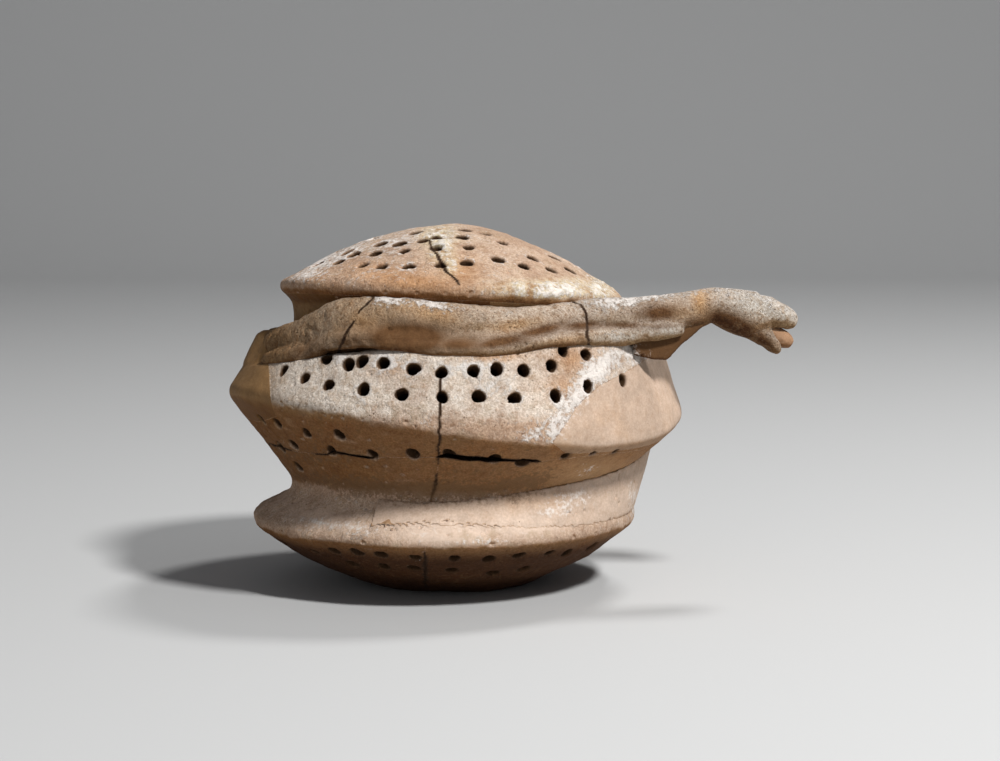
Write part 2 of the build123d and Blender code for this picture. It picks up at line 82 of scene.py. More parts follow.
def dome_ring(radius, rise):
    front, right = DOME_LEAN
    shift = -1.0 + rise * (0.05 + sin(radians(-right)))
    return ring(radius, DOME_HEIGHT + rise, shift, rise * sin(radians(front)), front, right)


def keel_ring(radius, height):
    return ring(radius, height, 0, 0, 0, -2.5, -4.1)


def ledge_ring(radius, height, shift, set_back):
    return ring(radius, height, shift, set_back, *LEDGE_LEAN, 0, 2.5)


def groove_ring(radius):
    return ring(radius, 33.5, 1.0, -2.0, 2.7, 1.6)


def around(one, azimuths):
    """Points of a ring at azimuths in radians from the front, positive towards the head."""
    radius, height, shift, set_back, front_lean, right_lean, wave, sway = one
    s, c = np.sin(azimuths), np.cos(azimuths)
    lean = radius * (front_lean * c + right_lean * s)
    rise = lean + wave * np.sin(2 * azimuths) + sway * np.cos(2 * azimuths)
    return np.stack([shift + radius * s, set_back - radius * c, height + rise], -1)


def turns_of(count):
    return np.linspace(0, 2 * pi, count, endpoint=False)


def at(one, azimuth):
    """The point of a ring at one azimuth in degrees."""
    return around(one, np.radians([azimuth]))[0]


def ledge_place(azimuth):
    """A point on the edge of the ledge, and the way from it to the axis, in the plan."""
    edge = at(LEDGE_EDGE, azimuth)
    return edge, -edge[:2] / np.linalg.norm(edge[:2])


def plan_spots(reach, azimuths, shift=0.0):
    """Points of the plan on a circle, at azimuths in degrees."""
    return [tuple(at(ring(reach, 0, shift), azimuth)[:2]) for azimuth in azimuths]


# Radius and rise of the rings above the rim
DOME = [(48.45, 5.93), (36.48, 12.77), (22.8, 18.24), (9.69, 21.66), (3.42, 22.8)]
REST = ring(27, 0)
BOWL_LOW, BOWL_HIGH = ring(37.64, 3.99, -3), ring(50.08, 10.29, -3)
FLANGE_LOW, FLANGE_TOP = ring(63.8, 21, -3.8), ring(63.8, 23.6, -3.8)
GROOVE = groove_ring(53)
KEEL_LOW, KEEL_TOP = keel_ring(75, 58.5), keel_ring(75, 61.5)
LEDGE_EDGE = ledge_ring(69, 78.8, -1, 3)
DOME_RINGS = [dome_ring(radius, rise) for radius, rise in DOME]

# Each ring of a profile with how far its corner is rounded, in millimetres towards both neighbours
OUTER = [
    (REST, 3.0), (BOWL_LOW, 9), (BOWL_HIGH, 9), (FLANGE_LOW, 1.6), (FLANGE_TOP, 1.6), (GROOVE, 5.5),
    (KEEL_LOW, 2.6), (KEEL_TOP, 2.6), (LEDGE_EDGE, 2.0), (ledge_ring(52, 79.8, -1, 0), 2.0),
    (dome_ring(52, -5.5), 2.0), (dome_ring(57, -1.5), 2.2), (dome_ring(57, 1.5), 2.2),
] + [(one, 9) for one in DOME_RINGS[:-1]] + [(DOME_RINGS[-1], 1.0)]
INNER = [
    (ring(24.5, 5), 2), (ring(35.14, 8.99, -3), 9), (ring(46.33, 15.29, -3), 9), (ring(55.8, 22.6, -3.8), 2),
    (groove_ring(48), 3), (keel_ring(67.5, 60), 3), (ledge_ring(64, 73.8, -1, 3), 3),
    (ledge_ring(47, 74.8, -1, 0), 2), (dome_ring(50, -2.75), 2),
] + [(dome_ring(radius, rise - 5.75), 9) for radius, rise in DOME[:-1]]


def rounded(corners):
    """The rings of a profile whose corners are rounded off."""
    rings = [corners[0][0]]
    for before, (corner, reach), after in zip(corners, corners[1:], corners[2:]):
        ends = []
        for neighbour in (before[0], after[0]):
            run = np.hypot(*(neighbour - corner)[:2])
            ends.append(corner + (neighbour - corner) * min(reach / run, 0.5))
        for t in np.linspace(0, 1, 6):
            rings.append(ends[0] * (1 - t) ** 2 + corner * 2 * t * (1 - t) + ends[1] * t ** 2)
    rings.append(corners[-1][0])
    return rings


# Meshes
def link(name, vertices, faces):
    """A new object from points in millimetres."""
    mesh = bpy.data.meshes.new(name)
    mesh.from_pydata((np.asarray(vertices) * MM).tolist(), [], [list(map(int, face)) for face in faces])
    mesh.validate()
    work = bmesh.new()
    work.from_mesh(mesh)
    bmesh.ops.recalc_face_normals(work, faces=work.faces)
    work.to_mesh(mesh)
    work.free()
    thing = bpy.data.objects.new(name, mesh)
    bpy.context.scene.collection.objects.link(thing)
    return thing


def loft(sections):
    """Points and faces of a closed form through sections with equal counts."""
    count = len(sections[0])
    vertices = np.concatenate(sections)
    faces = [list(range(count))[::-1], [len(vertices) - count + corner for corner in range(count)]]
    for level in range(len(sections) - 1):
        low, high = level * count, (level + 1) * count
        for corner in range(count):
            after = (corner + 1) % count
            faces.append([low + corner, low + after, high + after, high + corner])
    return vertices, faces


def read(mesh, label):
    flat = np.empty(len(mesh.vertices) * 3, np.float32)
    mesh.vertices.foreach_get(label, flat)
    return flat.reshape(-1, 3).astype(float)


def points_of(mesh):
    return read(mesh, "co") / MM


def put_points(mesh, points):
    mesh.vertices.foreach_set("co", (points * MM).astype(np.float32).ravel())
    mesh.update()


def relaxed(mesh, rounds, weight=1.0):
    """The mesh's points, moved halfway to their neighbours in each round."""
    points = points_of(mesh)
    edges = np.empty(len(mesh.edges) * 2, np.int32)
    mesh.edges.foreach_get("vertices", edges)
    edges = edges.reshape(-1, 2)
    one, other = np.concatenate((edges, edges[:, ::-1])).T
    count = np.maximum(np.bincount(one, minlength=len(points)), 1)
    for _ in range(rounds):
        mean = np.stack([np.bincount(one, points[other, axis], len(points)) for axis in range(3)], 1)
        points += (mean / count[:, None] - points) * 0.5 * np.reshape(weight, (-1, 1))
    return points


def applied(thing):
    """A new mesh with the object's modifiers in it, and the object without them."""
    mesh = bpy.data.meshes.new_from_object(thing.evaluated_get(bpy.context.evaluated_depsgraph_get()))
    thing.modifiers.clear()
    return mesh


def remeshed(thing):
    """The same object as one even mesh."""
    modifier = thing.modifiers.new("even", "REMESH")
    modifier.mode = "VOXEL"
    modifier.voxel_size = VOXEL
    thing.data = applied(thing)
    return thing


def cut(thing, tool, operation, name=None):
    """A new object, or the same one, after a boolean with a tool."""
    modifier = thing.modifiers.new("cut", "BOOLEAN")
    modifier.object = tool
    modifier.operation = operation
    modifier.solver = "MANIFOLD"
    bpy.context.view_layer.update()
    mesh = applied(thing)
    if name is None:
        thing.data = mesh
        return thing
    result = bpy.data.objects.new(name, mesh)
    bpy.context.scene.collection.objects.link(result)
    return result


def noise(points, size, seed, stretch=(1, 1, 1)):
    """Even noise from -1 to 1 with lumps of a size in millimetres."""
    lattice = np.random.default_rng(seed).uniform(-1, 1, (32, 32, 32))
    cell = points / (size * np.array(stretch)) + 500.5 + seed * 0.37
    base = np.floor(cell).astype(int)
    part = cell - base
    part = part * part * (3 - 2 * part)
    total = np.zeros(len(points))
    for step in np.ndindex(2, 2, 2):
        weight = np.prod(np.where(np.array(step) == 1, part, 1 - part), axis=1)
        x, y, z = ((base + step) % 32).T
        total += lattice[x, y, z] * weight
    return total


def soft_step(value, low, high):
    t = np.clip((value - low) / (high - low), 0, 1)
    return t * t * (3 - 2 * t)


# The poked holes
def row(lower, upper, marks, behind, share):
    """Holes between two rings, as azimuth in degrees and share of the way up, in front and behind."""
    marks = list(marks) + [(azimuth, share) for azimuth in behind]
    return [(lower, upper, azimuth, up) for azimuth, up in marks]


HOLES = row(KEEL_TOP, LEDGE_EDGE, (
    (-49, 0.71), (-34, 0.94), (-27, 0.79), (-23, 0.84), (-17, 0.79), (-9, 0.7), (-2, 0.65), (6, 0.68),
    (12, 0.7), (19, 0.69), (27, 0.74), (31, 0.9), (38, 0.85),
), range(62, 300, 14), 0.7)
HOLES += row(KEEL_TOP, LEDGE_EDGE, (
    (-40, 0.51), (-32, 0.38), (-22, 0.36), (-12, 0.33), (-2, 0.34), (7, 0.38), (16, 0.39), (27, 0.43),
    (37, 0.53), (50, 0.58),
), range(68, 305, 14), 0.35)
HOLES += row(KEEL_LOW, GROOVE, (
    (-62, 0.21), (-54, 0.23), (-43, 0.29), (-31, 0.25), (-63, 0.52), (-53, 0.46), (-60, 0.72), (-37, 0.47),
    (-23, 0.445), (-11, 0.375), (-1, 0.32), (11, 0.325), (19, 0.37), (30, 0.21), (38, 0.15),
    (46, 0.15),
), range(84, 280, 14), 0.45)
HOLES += row(BOWL_HIGH, FLANGE_LOW, (
    (-46, 0.51), (-36, 0.63), (-27, 0.68), (-19, 0.66), (-8, 0.63), (4, 0.61), (15, 0.53), (25, 0.61),
    (36, 0.59), (45, 0.46),
), range(58, 300, 14), 0.5)
HOLES += row(BOWL_HIGH, FLANGE_LOW, ((-34, 0.17), (-21, 0.19), (-10, 0.2), (3, 0.14)),
             range(64, 310, 28), 0.1)
HOLES += row(BOWL_LOW, BOWL_HIGH, ((19, 0.85), (31, 0.97)), [], 0)
HOLES += row(*DOME_RINGS[:2], (
    (-37, 0.1), (-28, 0.07), (-17, 0.13), (-5, 0.28), (6, 0.49), (21, 0.72), (32, 0.46), (46, 0.36),
    (62, 0.44), (78, 0.1), (-55, 0.26), (-54, 0.68), (-40, 0.75), (-25, 0.89), (42, 0.88),
), range(92, 300, 14), 0.15)
HOLES += row(*DOME_RINGS[:2], [], range(86, 300, 14), 0.8)
HOLES += row(*DOME_RINGS[1:3], (
    (-9, 0.14), (8, 0.29), (34, 0.68), (66, 0.05), (-50, 0.34), (-35, 0.37), (-21, 0.61), (-16, 0.82),
    (5, 0.91),
), range(92, 300, 28), 0.6)
HOLES += row(*DOME_RINGS[2:4], ((-41, 0.19), (10, 0.62), (31, 0.32)), range(80, 300, 56), 0.4)


# Half the width of a hole, and the share of it for the small holes low on the right
PEG_RADIUS, SMALL_PEG = 2.05, 0.62

# The keels' holes keep off the front of the plaster at both sides
BARE_LEFT, BARE_RIGHT, BARE_DEPTH = -64, 56, 22


def hole_frames():
    """Centre and outward direction of each hole, in millimetres."""
    centers, outwards = [], []
    for lower, upper, azimuth, share in HOLES:
        turn = np.radians([azimuth - 1, azimuth, azimuth + 1])
        foot, head = around(lower, turn), around(upper, turn)
        along = head[1] - foot[1]
        outward = np.cross(foot[2] - foot[0], along)
        center = foot[1] + along * share
        outward *= np.sign(outward[:2] @ center[:2]) / np.linalg.norm(outward)
        on_keel = lower is KEEL_TOP or lower is KEEL_LOW
        if on_keel and center[1] < BARE_DEPTH and not BARE_LEFT <= azimuth <= BARE_RIGHT:
            continue
        centers.append(center)
        outwards.append(outward)
    return np.array(centers), np.array(outwards)


def hole_tools(centers, outwards):
    """Uneven, tapering pegs for all the holes."""
    luck = np.random.default_rng(7)
    vertices, faces = [], []
    turns = turns_of(PEG_SIDES)
    for center, outward in zip(centers, outwards):
        small = SMALL_PEG if 24 < center[0] and center[1] < 0 and 40 < center[2] < 60 else 1.0
        outward = outward + luck.normal(0, 0.07, 3)
        outward /= np.linalg.norm(outward)
        side = np.cross(outward, (0, 0, 1))
        side /= np.linalg.norm(side)
        up = np.cross(side, outward)
        wide, tall = PEG_RADIUS * small * luck.uniform(0.92, 1.08, 2)
        wobble = 1 + 0.07 * np.sin(2 * turns + luck.uniform(0, 6))
        wobble = wobble + 0.06 * np.sin(3 * turns + luck.uniform(0, 6))
        sections = []
        for depth, flare in ((4.5, 1.25), (0.3, 1.04), (-3, 0.97), (-8.5, 0.85)):
            reach = (np.cos(turns) * wide * wobble * flare)[:, None] * side
            reach = reach + (np.sin(turns) * tall * wobble * flare)[:, None] * up
            sections.append(center + outward * depth + reach)
        points, quads = loft(sections[::-1])
        faces += [[corner + len(vertices) for corner in face] for face in quads]
        vertices += list(points)
    return link("pegs", vertices, faces)


TURNS = turns_of(SIDES)
outer = link("outer", *loft([around(one, TURNS) for one in rounded(OUTER)]))
inner = link("inner", *loft([around(one, TURNS) for one in rounded(INNER)]))
vessel = cut(outer, inner, "DIFFERENCE", "vessel")
centers, outwards = hole_frames()
cut(vessel, hole_tools(centers, outwards), "DIFFERENCE")

# The left repair rises over the ledge to the snake: steps in and up, and share of the rise
BANK_STEPS = ((-0.9, -3), (-0.3, 1), (1.6, 5.2), (4.0, 10), (6, 11.2), (9, 11.2), (9, -3))
BANK_RISE = (
    (-106, 0.0), (-101, 0.55), (-95, 0.9), (-86, 1.0), (-78, 1.0), (-70, 0.75), (-64, 0.3), (-60, 0.0),
)
bank = []
for azimuth, share in BANK_RISE:
    edge, inward = ledge_place(azimuth)
    section = []
    for u, w in BANK_STEPS:
        u, w = u + (1 - share) * 2.5, -3 + (w + 3) * (0.1 + 0.9 * share) - 1.5 * (1 - share)
        section.append(edge + np.array([*(inward * u), w]))
    bank.append(np.array(section))
cut(vessel, link("bank", *loft(bank)), "UNION")
remeshed(vessel)

# The breaks in the front view: across, height and width of the open crack, in millimetres
UPRIGHT = [
    (-8.0, 142, 0), (-7.8, 116, 0), (-7.2, 113, 0.5), (-4.7, 111, 0.8), (-3.4, 108.8, 1.1), (-2.2, 107, 0.7),
    (1.4, 104.6, 0.6), (2.2, 103.2, 0.1), (1.6, 101, 0), (0.7, 96, 0), (-1.5, 86, 0), (-3.0, 80.5, 0),
    (-3.2, 76, 0.4), (-3.7, 72, 0.5), (-3.6, 66, 0.4), (-3.9, 58, 0.45), (-4.0, 51, 0.3), (-4.6, 46, 0),
    (-4.9, 43, 0.3), (-5.2, 41, 1.3), (-6, 38, 0.9), (-6.6, 35.8, 0.2), (-6.8, 33, 0), (-8.0, 24, 0),
    (-8.6, 20, 0.1), (-8.8, 15, 1.1), (-9, 8, 1.0), (-9.1, 4, 0.2), (-9, 0, 0), (-9, -24, 0),
]
LEVEL = [
    (-150, 46.5, 0), (-75, 46.5, 0), (-62, 47.0, 0), (-60, 48.2, 0.25), (-54, 48.4, 0.25), (-50, 48.4, 0),
    (-40, 49.0, 0.2), (-37.5, 50.2, 0.6), (-30, 49.9, 0.5), (-26.5, 49.6, 0.6), (-24, 49.6, 0),
    (-5, 50.6, 0.1), (-3.5, 51.2, 1.2), (3, 50.5, 1.6), (12.5, 49.7, 1.6), (14.5, 49.6, 0.9),
    (20, 49.2, 0.6), (25, 48.9, 1.1), (27, 48.8, 0.5), (28, 48.5, 0), (45, 49.9, 0), (75, 47.5, 0),
    (150, 47.5, 0),
]


# Seeds of the ragged steps along each break
UPRIGHT_SEED, LEVEL_SEED, SNAKE_LEFT_SEED, SNAKE_RIGHT_SEED = 41, 51, 61, 71


def dense(line):
    """A polyline with extra points, so that no run is longer than a millimetre."""
    line = np.array(line, float)
    result = [line[0]]
    for start, end in zip(line, line[1:]):
        parts = max(int(np.ceil(np.hypot(*(end - start)[:2]))), 1)
        result += [start + (end - start) * part / parts for part in range(1, parts + 1)]
    return np.array(result)


def ragged(points, seed):
    """Small uneven steps for a broken edge."""
    return 0.42 * noise(points, 3.1, seed) + 0.22 * noise(points, 1.3, seed + 1)


def region(line, side, corners, seed):
    """All on one side of a break, which is open in front and shut behind."""
    line = dense(line)
    run = np.gradient(line[:, :2], axis=0)
    run /= np.linalg.norm(run, axis=1)[:, None]
    across = np.stack([run[:, 1], -run[:, 0]], 1)
    sections = []
    for y in np.arange(FRONT_END, BACK_END + 1, 4.0):
        where = np.insert(line[:, :2], 1, y, axis=1)
        half = side * line[:, 2] * 0.5 * soft_step(-y, 10, 30)
        shift = ragged(where, seed) + half * (1 + 0.35 * noise(where, 2.2, seed + 5))
        edge = line[:, :2] + across * shift[:, None]
        sections.append(np.insert(np.concatenate([edge, np.array(corners, float)]), 1, y, axis=1))
    return link("region", *loft(sections))


def parted(line, seed):
    """All that lies to the left and to the right of an upright break."""
    ends = ((-1, LEFT_END), (1, RIGHT_END))
    return [region(line, side, [(end, LOW_END), (end, HIGH_END)], seed) for side, end in ends]


def prism(outline, axis, start, end):
    """A prism over an outline of the front view, along axis 1, or of the plan, along axis 2."""
    outline = np.array(outline, float)
    return link("prism", *loft([np.insert(outline, axis, level, axis=1) for level in (start, end)]))


def upward(lean):
    """The normal of a plane with leans in degrees, towards the front and towards the right."""
    front, right = lean
    return (-tan(radians(right)), tan(radians(front)), 1)


def half_space(origin, normal):
    """A large block that starts at a plane and goes on along its normal."""
    normal = np.array(normal, float) / np.linalg.norm(normal)
    side = np.cross(normal, (0.3, 1, 0.2))
    side /= np.linalg.norm(side)
    up = np.cross(normal, side)
    base = np.array(origin, float)
    square = np.array([base + 300 * (a * side + b * up) for a, b in ((-1, -1), (1, -1), (1, 1), (-1, 1))])
    return link("block", *loft([square, square + 300 * normal]))


def surfaced(thing, rounds=3, lumps=0.45, grain=0.16):
    """The same object with hand-made lumps, grain and small pits."""
    mesh = thing.data
    points = relaxed(mesh, rounds)
    put_points(mesh, points)
    outward = read(mesh, "normal")
    bare = 1 - plaster_share(points)
    height = lumps * noise(points, 17, 21) + 0.5 * lumps * noise(points, 8, 22, (1, 1, 0.5))
    fine = 0.6 * grain * noise(points, 1.6, 24) * bare
    height += grain * noise(points, 3.4, 23) * (0.3 + 0.7 * bare) + fine
    pits = soft_step(noise(points, 2.4, 25) * noise(points, 1.1, 26), 0.3, 0.5)
    height -= 0.5 * pits * bare
    put_points(mesh, points + outward * height[:, None])
    return thing


def inside(outline, points):
    """Whether each point lies inside an outline of the front view."""
    outline = np.array(outline)
    x, z = points[:, 0], points[:, 2]
    within = np.zeros(len(points), bool)
    for (x0, z0), (x1, z1) in zip(outline, np.roll(outline, -1, 0)):
        if z0 != z1:
            within ^= ((z0 > z) != (z1 > z)) & (x < (x1 - x0) * (z - z0) / (z1 - z0) + x0)
    return within


# Outlines of the plaster repairs in the front view, and how far back those of the sides reach
LEFT_FILL = [
    (-97.5, 95), (-61, 95), (-61, 81.5), (-58.9, 73.7), (-57.4, 64.2), (-56.3, 60.6), (-63.8, 56.4),
    (-97.5, 55.8),
]
RIGHT_FILL = [
    (66, 101), (63, 77.2), (46.5, 71.3), (39.8, 66.5), (35.3, 60.6), (31.5, 55.2), (36, 51.1), (60, 49.9),
    (97.5, 49.9), (97.5, 101),
]
COLLAR_LEFT = [(LEFT_END, 47.5), (-37.5, 47.5), (-37.5, 98.6), (-46.5, 104.5), (LEFT_END, 104.5)]
COLLAR_RIGHT = [(11.3, 47.5), (12, 106.9), (RIGHT_END, 106.9), (RIGHT_END, 47.5)]
FILL_DEPTH = 22


def plaster_share(points):
    """How far the smooth plaster of the side repairs covers each point."""
    share = np.zeros(len(points))
    for outline in (LEFT_FILL, RIGHT_FILL):
        share = np.maximum(share, inside(outline, points) * soft_step(-points[:, 1], -24, -20))
    return share


surfaced(vessel)

ledge_up = half_space((-1, 3, 83.3), upward(LEDGE_LEAN))
rim_up = half_space((-1, 0, 93), upward(DOME_LEAN))
behind = half_space((0, 0, 0), (0, 1, 0))
left_of, right_of = parted(UPRIGHT, UPRIGHT_SEED)
above = region(LEVEL, -1, [(RIGHT_END, HIGH_END), (LEFT_END, HIGH_END)], LEVEL_SEED)
below = region(LEVEL, 1, [(RIGHT_END, LOW_END), (LEFT_END, LOW_END)], LEVEL_SEED)
zone_left = prism(LEFT_FILL, 1, FRONT_END, FILL_DEPTH)
zone_right = prism(RIGHT_FILL, 1, FRONT_END, FILL_DEPTH)
zone_collar_left = prism(COLLAR_LEFT, 1, FRONT_END, BACK_END)
zone_collar_right = prism(COLLAR_RIGHT, 1, FRONT_END, 0)

upper = cut(vessel, above, "INTERSECT", "upper")
foot = cut(vessel, below, "INTERSECT", "foot")
left_side = cut(upper, zone_left, "INTERSECT", "left_side")
cut(upper, zone_left, "DIFFERENCE")
top = cut(upper, ledge_up, "INTERSECT", "top")
middle = cut(upper, ledge_up, "DIFFERENCE", "middle")
dome = cut(top, rim_up, "INTERSECT", "dome")
collar = cut(top, rim_up, "DIFFERENCE", "collar")

pieces = {
    "dome_left_sherd": cut(dome, left_of, "INTERSECT", "dome_left"),
    "dome_right_sherd": cut(dome, right_of, "INTERSECT", "dome_right"),
    "collar_left_fill": cut(collar, zone_collar_left, "INTERSECT", "collar_left"),
    "collar_right_fill": cut(collar, zone_collar_right, "INTERSECT", "collar_right"),
    "foot_left_sherd": cut(foot, left_of, "INTERSECT", "foot_left"),
    "foot_right_sherd": cut(foot, right_of, "INTERSECT", "foot_right"),
    "left_side_fill": left_side,
    "right_side_fill": cut(middle, zone_right, "INTERSECT", "side_right"),
}
collar_rest = cut(cut(collar, zone_collar_left, "DIFFERENCE", "collar_rest"), zone_collar_right, "DIFFERENCE")
pieces["collar_back_sherd"] = cut(collar_rest, behind, "INTERSECT", "collar_back")
pieces["collar_front_sherd"] = cut(collar_rest, behind, "DIFFERENCE", "collar_front")
body = cut(middle, zone_right, "DIFFERENCE", "body")
pieces["body_left_sherd"] = cut(body, left_of, "INTERSECT", "body_left")
pieces["body_right_sherd"] = cut(body, right_of, "INTERSECT", "body_right")

# The plaster in the groove: a tapering block, of which the wedge is kept that lies outside the vessel
fill_foot, fill_top = ring(63.48, 23.6, -3.8), ring(58, 47, 8.5, 7.4)
plaster_ring = link("groove", *loft([around(fill_foot, TURNS), around(fill_top, TURNS)]))
wedge = prism([(0.0, 0.0)] + plan_spots(RIGHT_END, (-25, 20, 67, 112)), 2, 0, 118)
fill = cut(cut(plaster_ring, wedge, "INTERSECT", "groove_plaster"), outer, "DIFFERENCE")
pieces["groove_fill"] = surfaced(remeshed(fill), 4, 0.3, 0.1)


# The snake, hand-rolled over stations of centre, half width and half height
def smooth_stations(stations):
    """More stations on a smooth line through the given ones."""
    keys = np.array([np.concatenate((center, (wide, tall))) for center, wide, tall in stations])
    keys = np.vstack((2 * keys[0] - keys[1], keys, 2 * keys[-1] - keys[-2]))
    result = []
    for a, b, c, d in zip(keys, keys[1:], keys[2:], keys[3:]):
        for t in np.arange(STATION_PARTS) / STATION_PARTS:
            bend = (2 * a - 5 * b + 4 * c - d) * t ** 2 + (3 * b - 3 * c + d - a) * t ** 3
            result.append(0.5 * (2 * b + (c - a) * t + bend))
    result.append(keys[-2])
    return np.array(result)


def rolled(stations, name):
    """A closed roll of clay over smooth stations."""
    rows = smooth_stations(stations)
    run = np.gradient(rows[:, :3], axis=0)
    run /= np.linalg.norm(run, axis=1)[:, None]
    side = np.cross(run, (0, 0, 1))
    side /= np.linalg.norm(side, axis=1)[:, None]
    up = np.cross(side, run)
    turns = turns_of(ROLL_SIDES)
    sections = []
    for center, s, u, wide, tall in zip(rows[:, :3], side, up, rows[:, 3], rows[:, 4]):
        sections.append(center + np.outer(np.cos(turns) * wide, s) + np.outer(np.sin(turns) * tall, u))
    return link(name, *loft(sections))


# Half width and half height of the snake and of the lip, and how far the free neck goes along and out
SNAKE_WIDE, SNAKE_TALL, LIP_WIDE, LIP_TALL, NECK_ALONG, NECK_OUT = 6.3, 6.2, 2.8, 3, 45, 16


def seated(azimuth, broad, tall):
    """A station of the snake where it lies on the ledge."""
    wide, high = SNAKE_WIDE * broad, SNAKE_TALL * tall
    seat = at(ledge_ring(51.2 + wide, 79.3, -1, 0), azimuth)
    return (seat + np.array([0, 0, high - 0.8]), wide, high)


# The snake on the ledge, as azimuth and shares of the half width and half height
GIRTHS = [
    (-205, 0.22, 0.22), (-200, 0.4, 0.4), (-190, 0.52, 0.52), (-178, 0.6, 0.6), (-166, 0.68, 0.68),
    (-154, 0.75, 0.75), (-142, 0.8, 0.8), (-130, 0.86, 0.86), (-118, 0.92, 0.92), (-106, 0.97, 0.95),
    (-90, 1.0, 0.96), (-74, 1.0, 0.98), (-60, 1.02, 1.06), (-50, 1.04, 1.17), (-42, 1.05, 1.31),
    (-34, 1.05, 1.42), (-24, 1.05, 1.37), (-14, 1.03, 1.27), (-4, 1.0, 1.15), (6, 0.97, 1.02),
    (16, 0.94, 0.94), (30, 0.92, 0.95), (44, 0.92, 1.05),
]
# Shares along, out and up, then of the half width and half height; the later ones have none for out
NECK = [
    (0.21, 0.25, 0.01, 0.95, 1.02), (0.48, 0.5, 0.016, 1.0, 1.02), (0.67, 0.68, 0.04, 1.02, 1.02),
    (0.85, 0.87, 0.064, 1.02, 1.03), (1.0, 1.0, 0.098, 0.97, 0.9),
]
HEAD = [
    (0.1, 0.09, 0.92, 0.82), (0.28, 0.34, 0.98, 0.935), (0.46, 0.52, 1.0, 1.0), (0.58, 0.52, 0.97, 0.93),
    (0.665, 0.46, 0.92, 0.7), (0.83, 0.7, 0.78, 0.54), (0.94, 0.95, 0.56, 0.42), (1.0, 1.12, 0.3, 0.24),
]
JAW = [
    (-0.24, -0.28, 0.8, 1.07), (0.1, 0.01, 0.96, 1.2), (0.41, 0.29, 1.02, 1.2), (0.67, 0.56, 0.93, 1.0),
    (0.88, 0.88, 0.78, 0.8), (1.02, 1.14, 0.45, 0.42),
]
TONGUE = [(0.0, 0.1, 0.95, 0.9), (0.4, 0.75, 1.1, 1.35), (0.75, 1.3, 1.05, 1.3), (0.98, 1.7, 0.7, 0.8)]
# The lip below, as azimuth, rise and girth, and along, out, up and girth where it runs on under the neck
LIP = [
    (-34, 0.8, 0.4), (-22, 0.8, 0.6), (-10, 0.1, 0.7), (2, -0.55, 0.85), (14, -0.7, 0.9),
    (26, 0.0, 0.8), (38, 0.35, 0.9), (50, 0.4, 1.05),
]
LIP_NECK = [(0.48, 0.15, -0.073, 1.1), (0.62, 0.28, -0.064, 1.1), (0.78, 0.45, -0.064, 0.65)]

stations = [seated(*pair) for pair in GIRTHS]
neck_start = stations[-1][0]
for along, outward, lift, broad, tall in NECK:
    place = neck_start + np.array([NECK_ALONG * along, NECK_OUT * outward, NECK_ALONG * lift])
    stations.append((place, SNAKE_WIDE * broad, SNAKE_TALL * tall))
neck_end = stations[-1][0]
ahead = np.array([cos(radians(8)), sin(radians(8)), 0])
down = np.array([0, 0, -1.0])


def modelled(start, length, drop, wide, tall, shares):
    """Stations of a form that points ahead from the end of the neck."""
    return [(start + ahead * length * a + down * drop * b, wide * c, tall * d) for a, b, c, d in shares]


def sector(start, end):
    """The part of the plan between two azimuths about the snake's ring."""
    near, far = [plan_spots(reach, np.linspace(start, end, 13), -1) for reach in (0.01, 200)]
    return prism(near[::-1] + far, 2, 0, 200)


def girth_at(azimuth):
    """The snake's shares of the half width and half height at an azimuth."""
    azimuths, broad, tall = np.transpose(GIRTHS)
    return np.interp(azimuth, azimuths, broad), np.interp(azimuth, azimuths, tall)


# The lip under the snake, the clay smeared between the two, and the valley where they part
lip_stations, smear, valley = [], [], []
for azimuth, size in ((-68, 0.8), (-62, 2.4), (-55, 3.1), (-48, 3.1), (-41, 2.6)):
    edge, inward = ledge_place(azimuth)
    smear.append((edge + np.array([*(inward * 2.6), 1.2]), size, size * 1.15))
for azimuth, rise, girth in LIP:
    edge, inward = ledge_place(azimuth)
    place = edge - down * LIP_TALL * rise
    lip_stations.append((place, LIP_WIDE * girth, LIP_TALL * girth))
    body, wide, high = seated(azimuth, *girth_at(azimuth))
    low_side = body + np.array([*(-inward * wide * 0.8), -high * 0.45])
    halfway = (place + low_side) / 2
    more = 1.3 * float(soft_step(-azimuth, 6, 24))
    smeared = halfway + np.array([*(inward * (0.9 - more)), 0.2 + 0.6 * more])
    smear.append((smeared, 2.4 * girth + 0.4 + more, 2.3 * girth + 0.4 + more))
    valley.append(halfway + np.array([0, 0, 0.9]))
for along, outward, lift, girth in LIP_NECK:
    place = neck_start + np.array([NECK_ALONG * along, NECK_OUT * outward, NECK_ALONG * lift])
    lip_stations.append((place, LIP_WIDE * girth, LIP_TALL * girth))
    valley.append(place + np.array([0, 0, 3.2 * girth]))

jaw_stations = modelled(neck_end + ahead * 11.62 + down * 7.2, 10.6, 8, 5.6, 3.0, JAW)
snake = rolled(stations + modelled(neck_end, 28, 6.4, 7.2, 7.7, HEAD), "snake")
for part in (rolled(lip_stations, "lip"), rolled(smear, "smear"), rolled(jaw_stations, "jaw")):
    cut(snake, part, "UNION")
remeshed(snake)
spots = points_of(snake.data)
weight = np.zeros(len(spots))
for middle in valley + [place for place, _, _ in smear]:
    weight = np.maximum(weight, soft_step(-np.linalg.norm(spots - middle, axis=1), -8, -4))
weight = np.maximum(weight, soft_step(-np.linalg.norm(spots - jaw_stations[1][0], axis=1), -9, -5))
put_points(snake.data, relaxed(snake.data, RELAX_ROUNDS, weight))
surfaced(snake, 3, 0.55, 0.22)

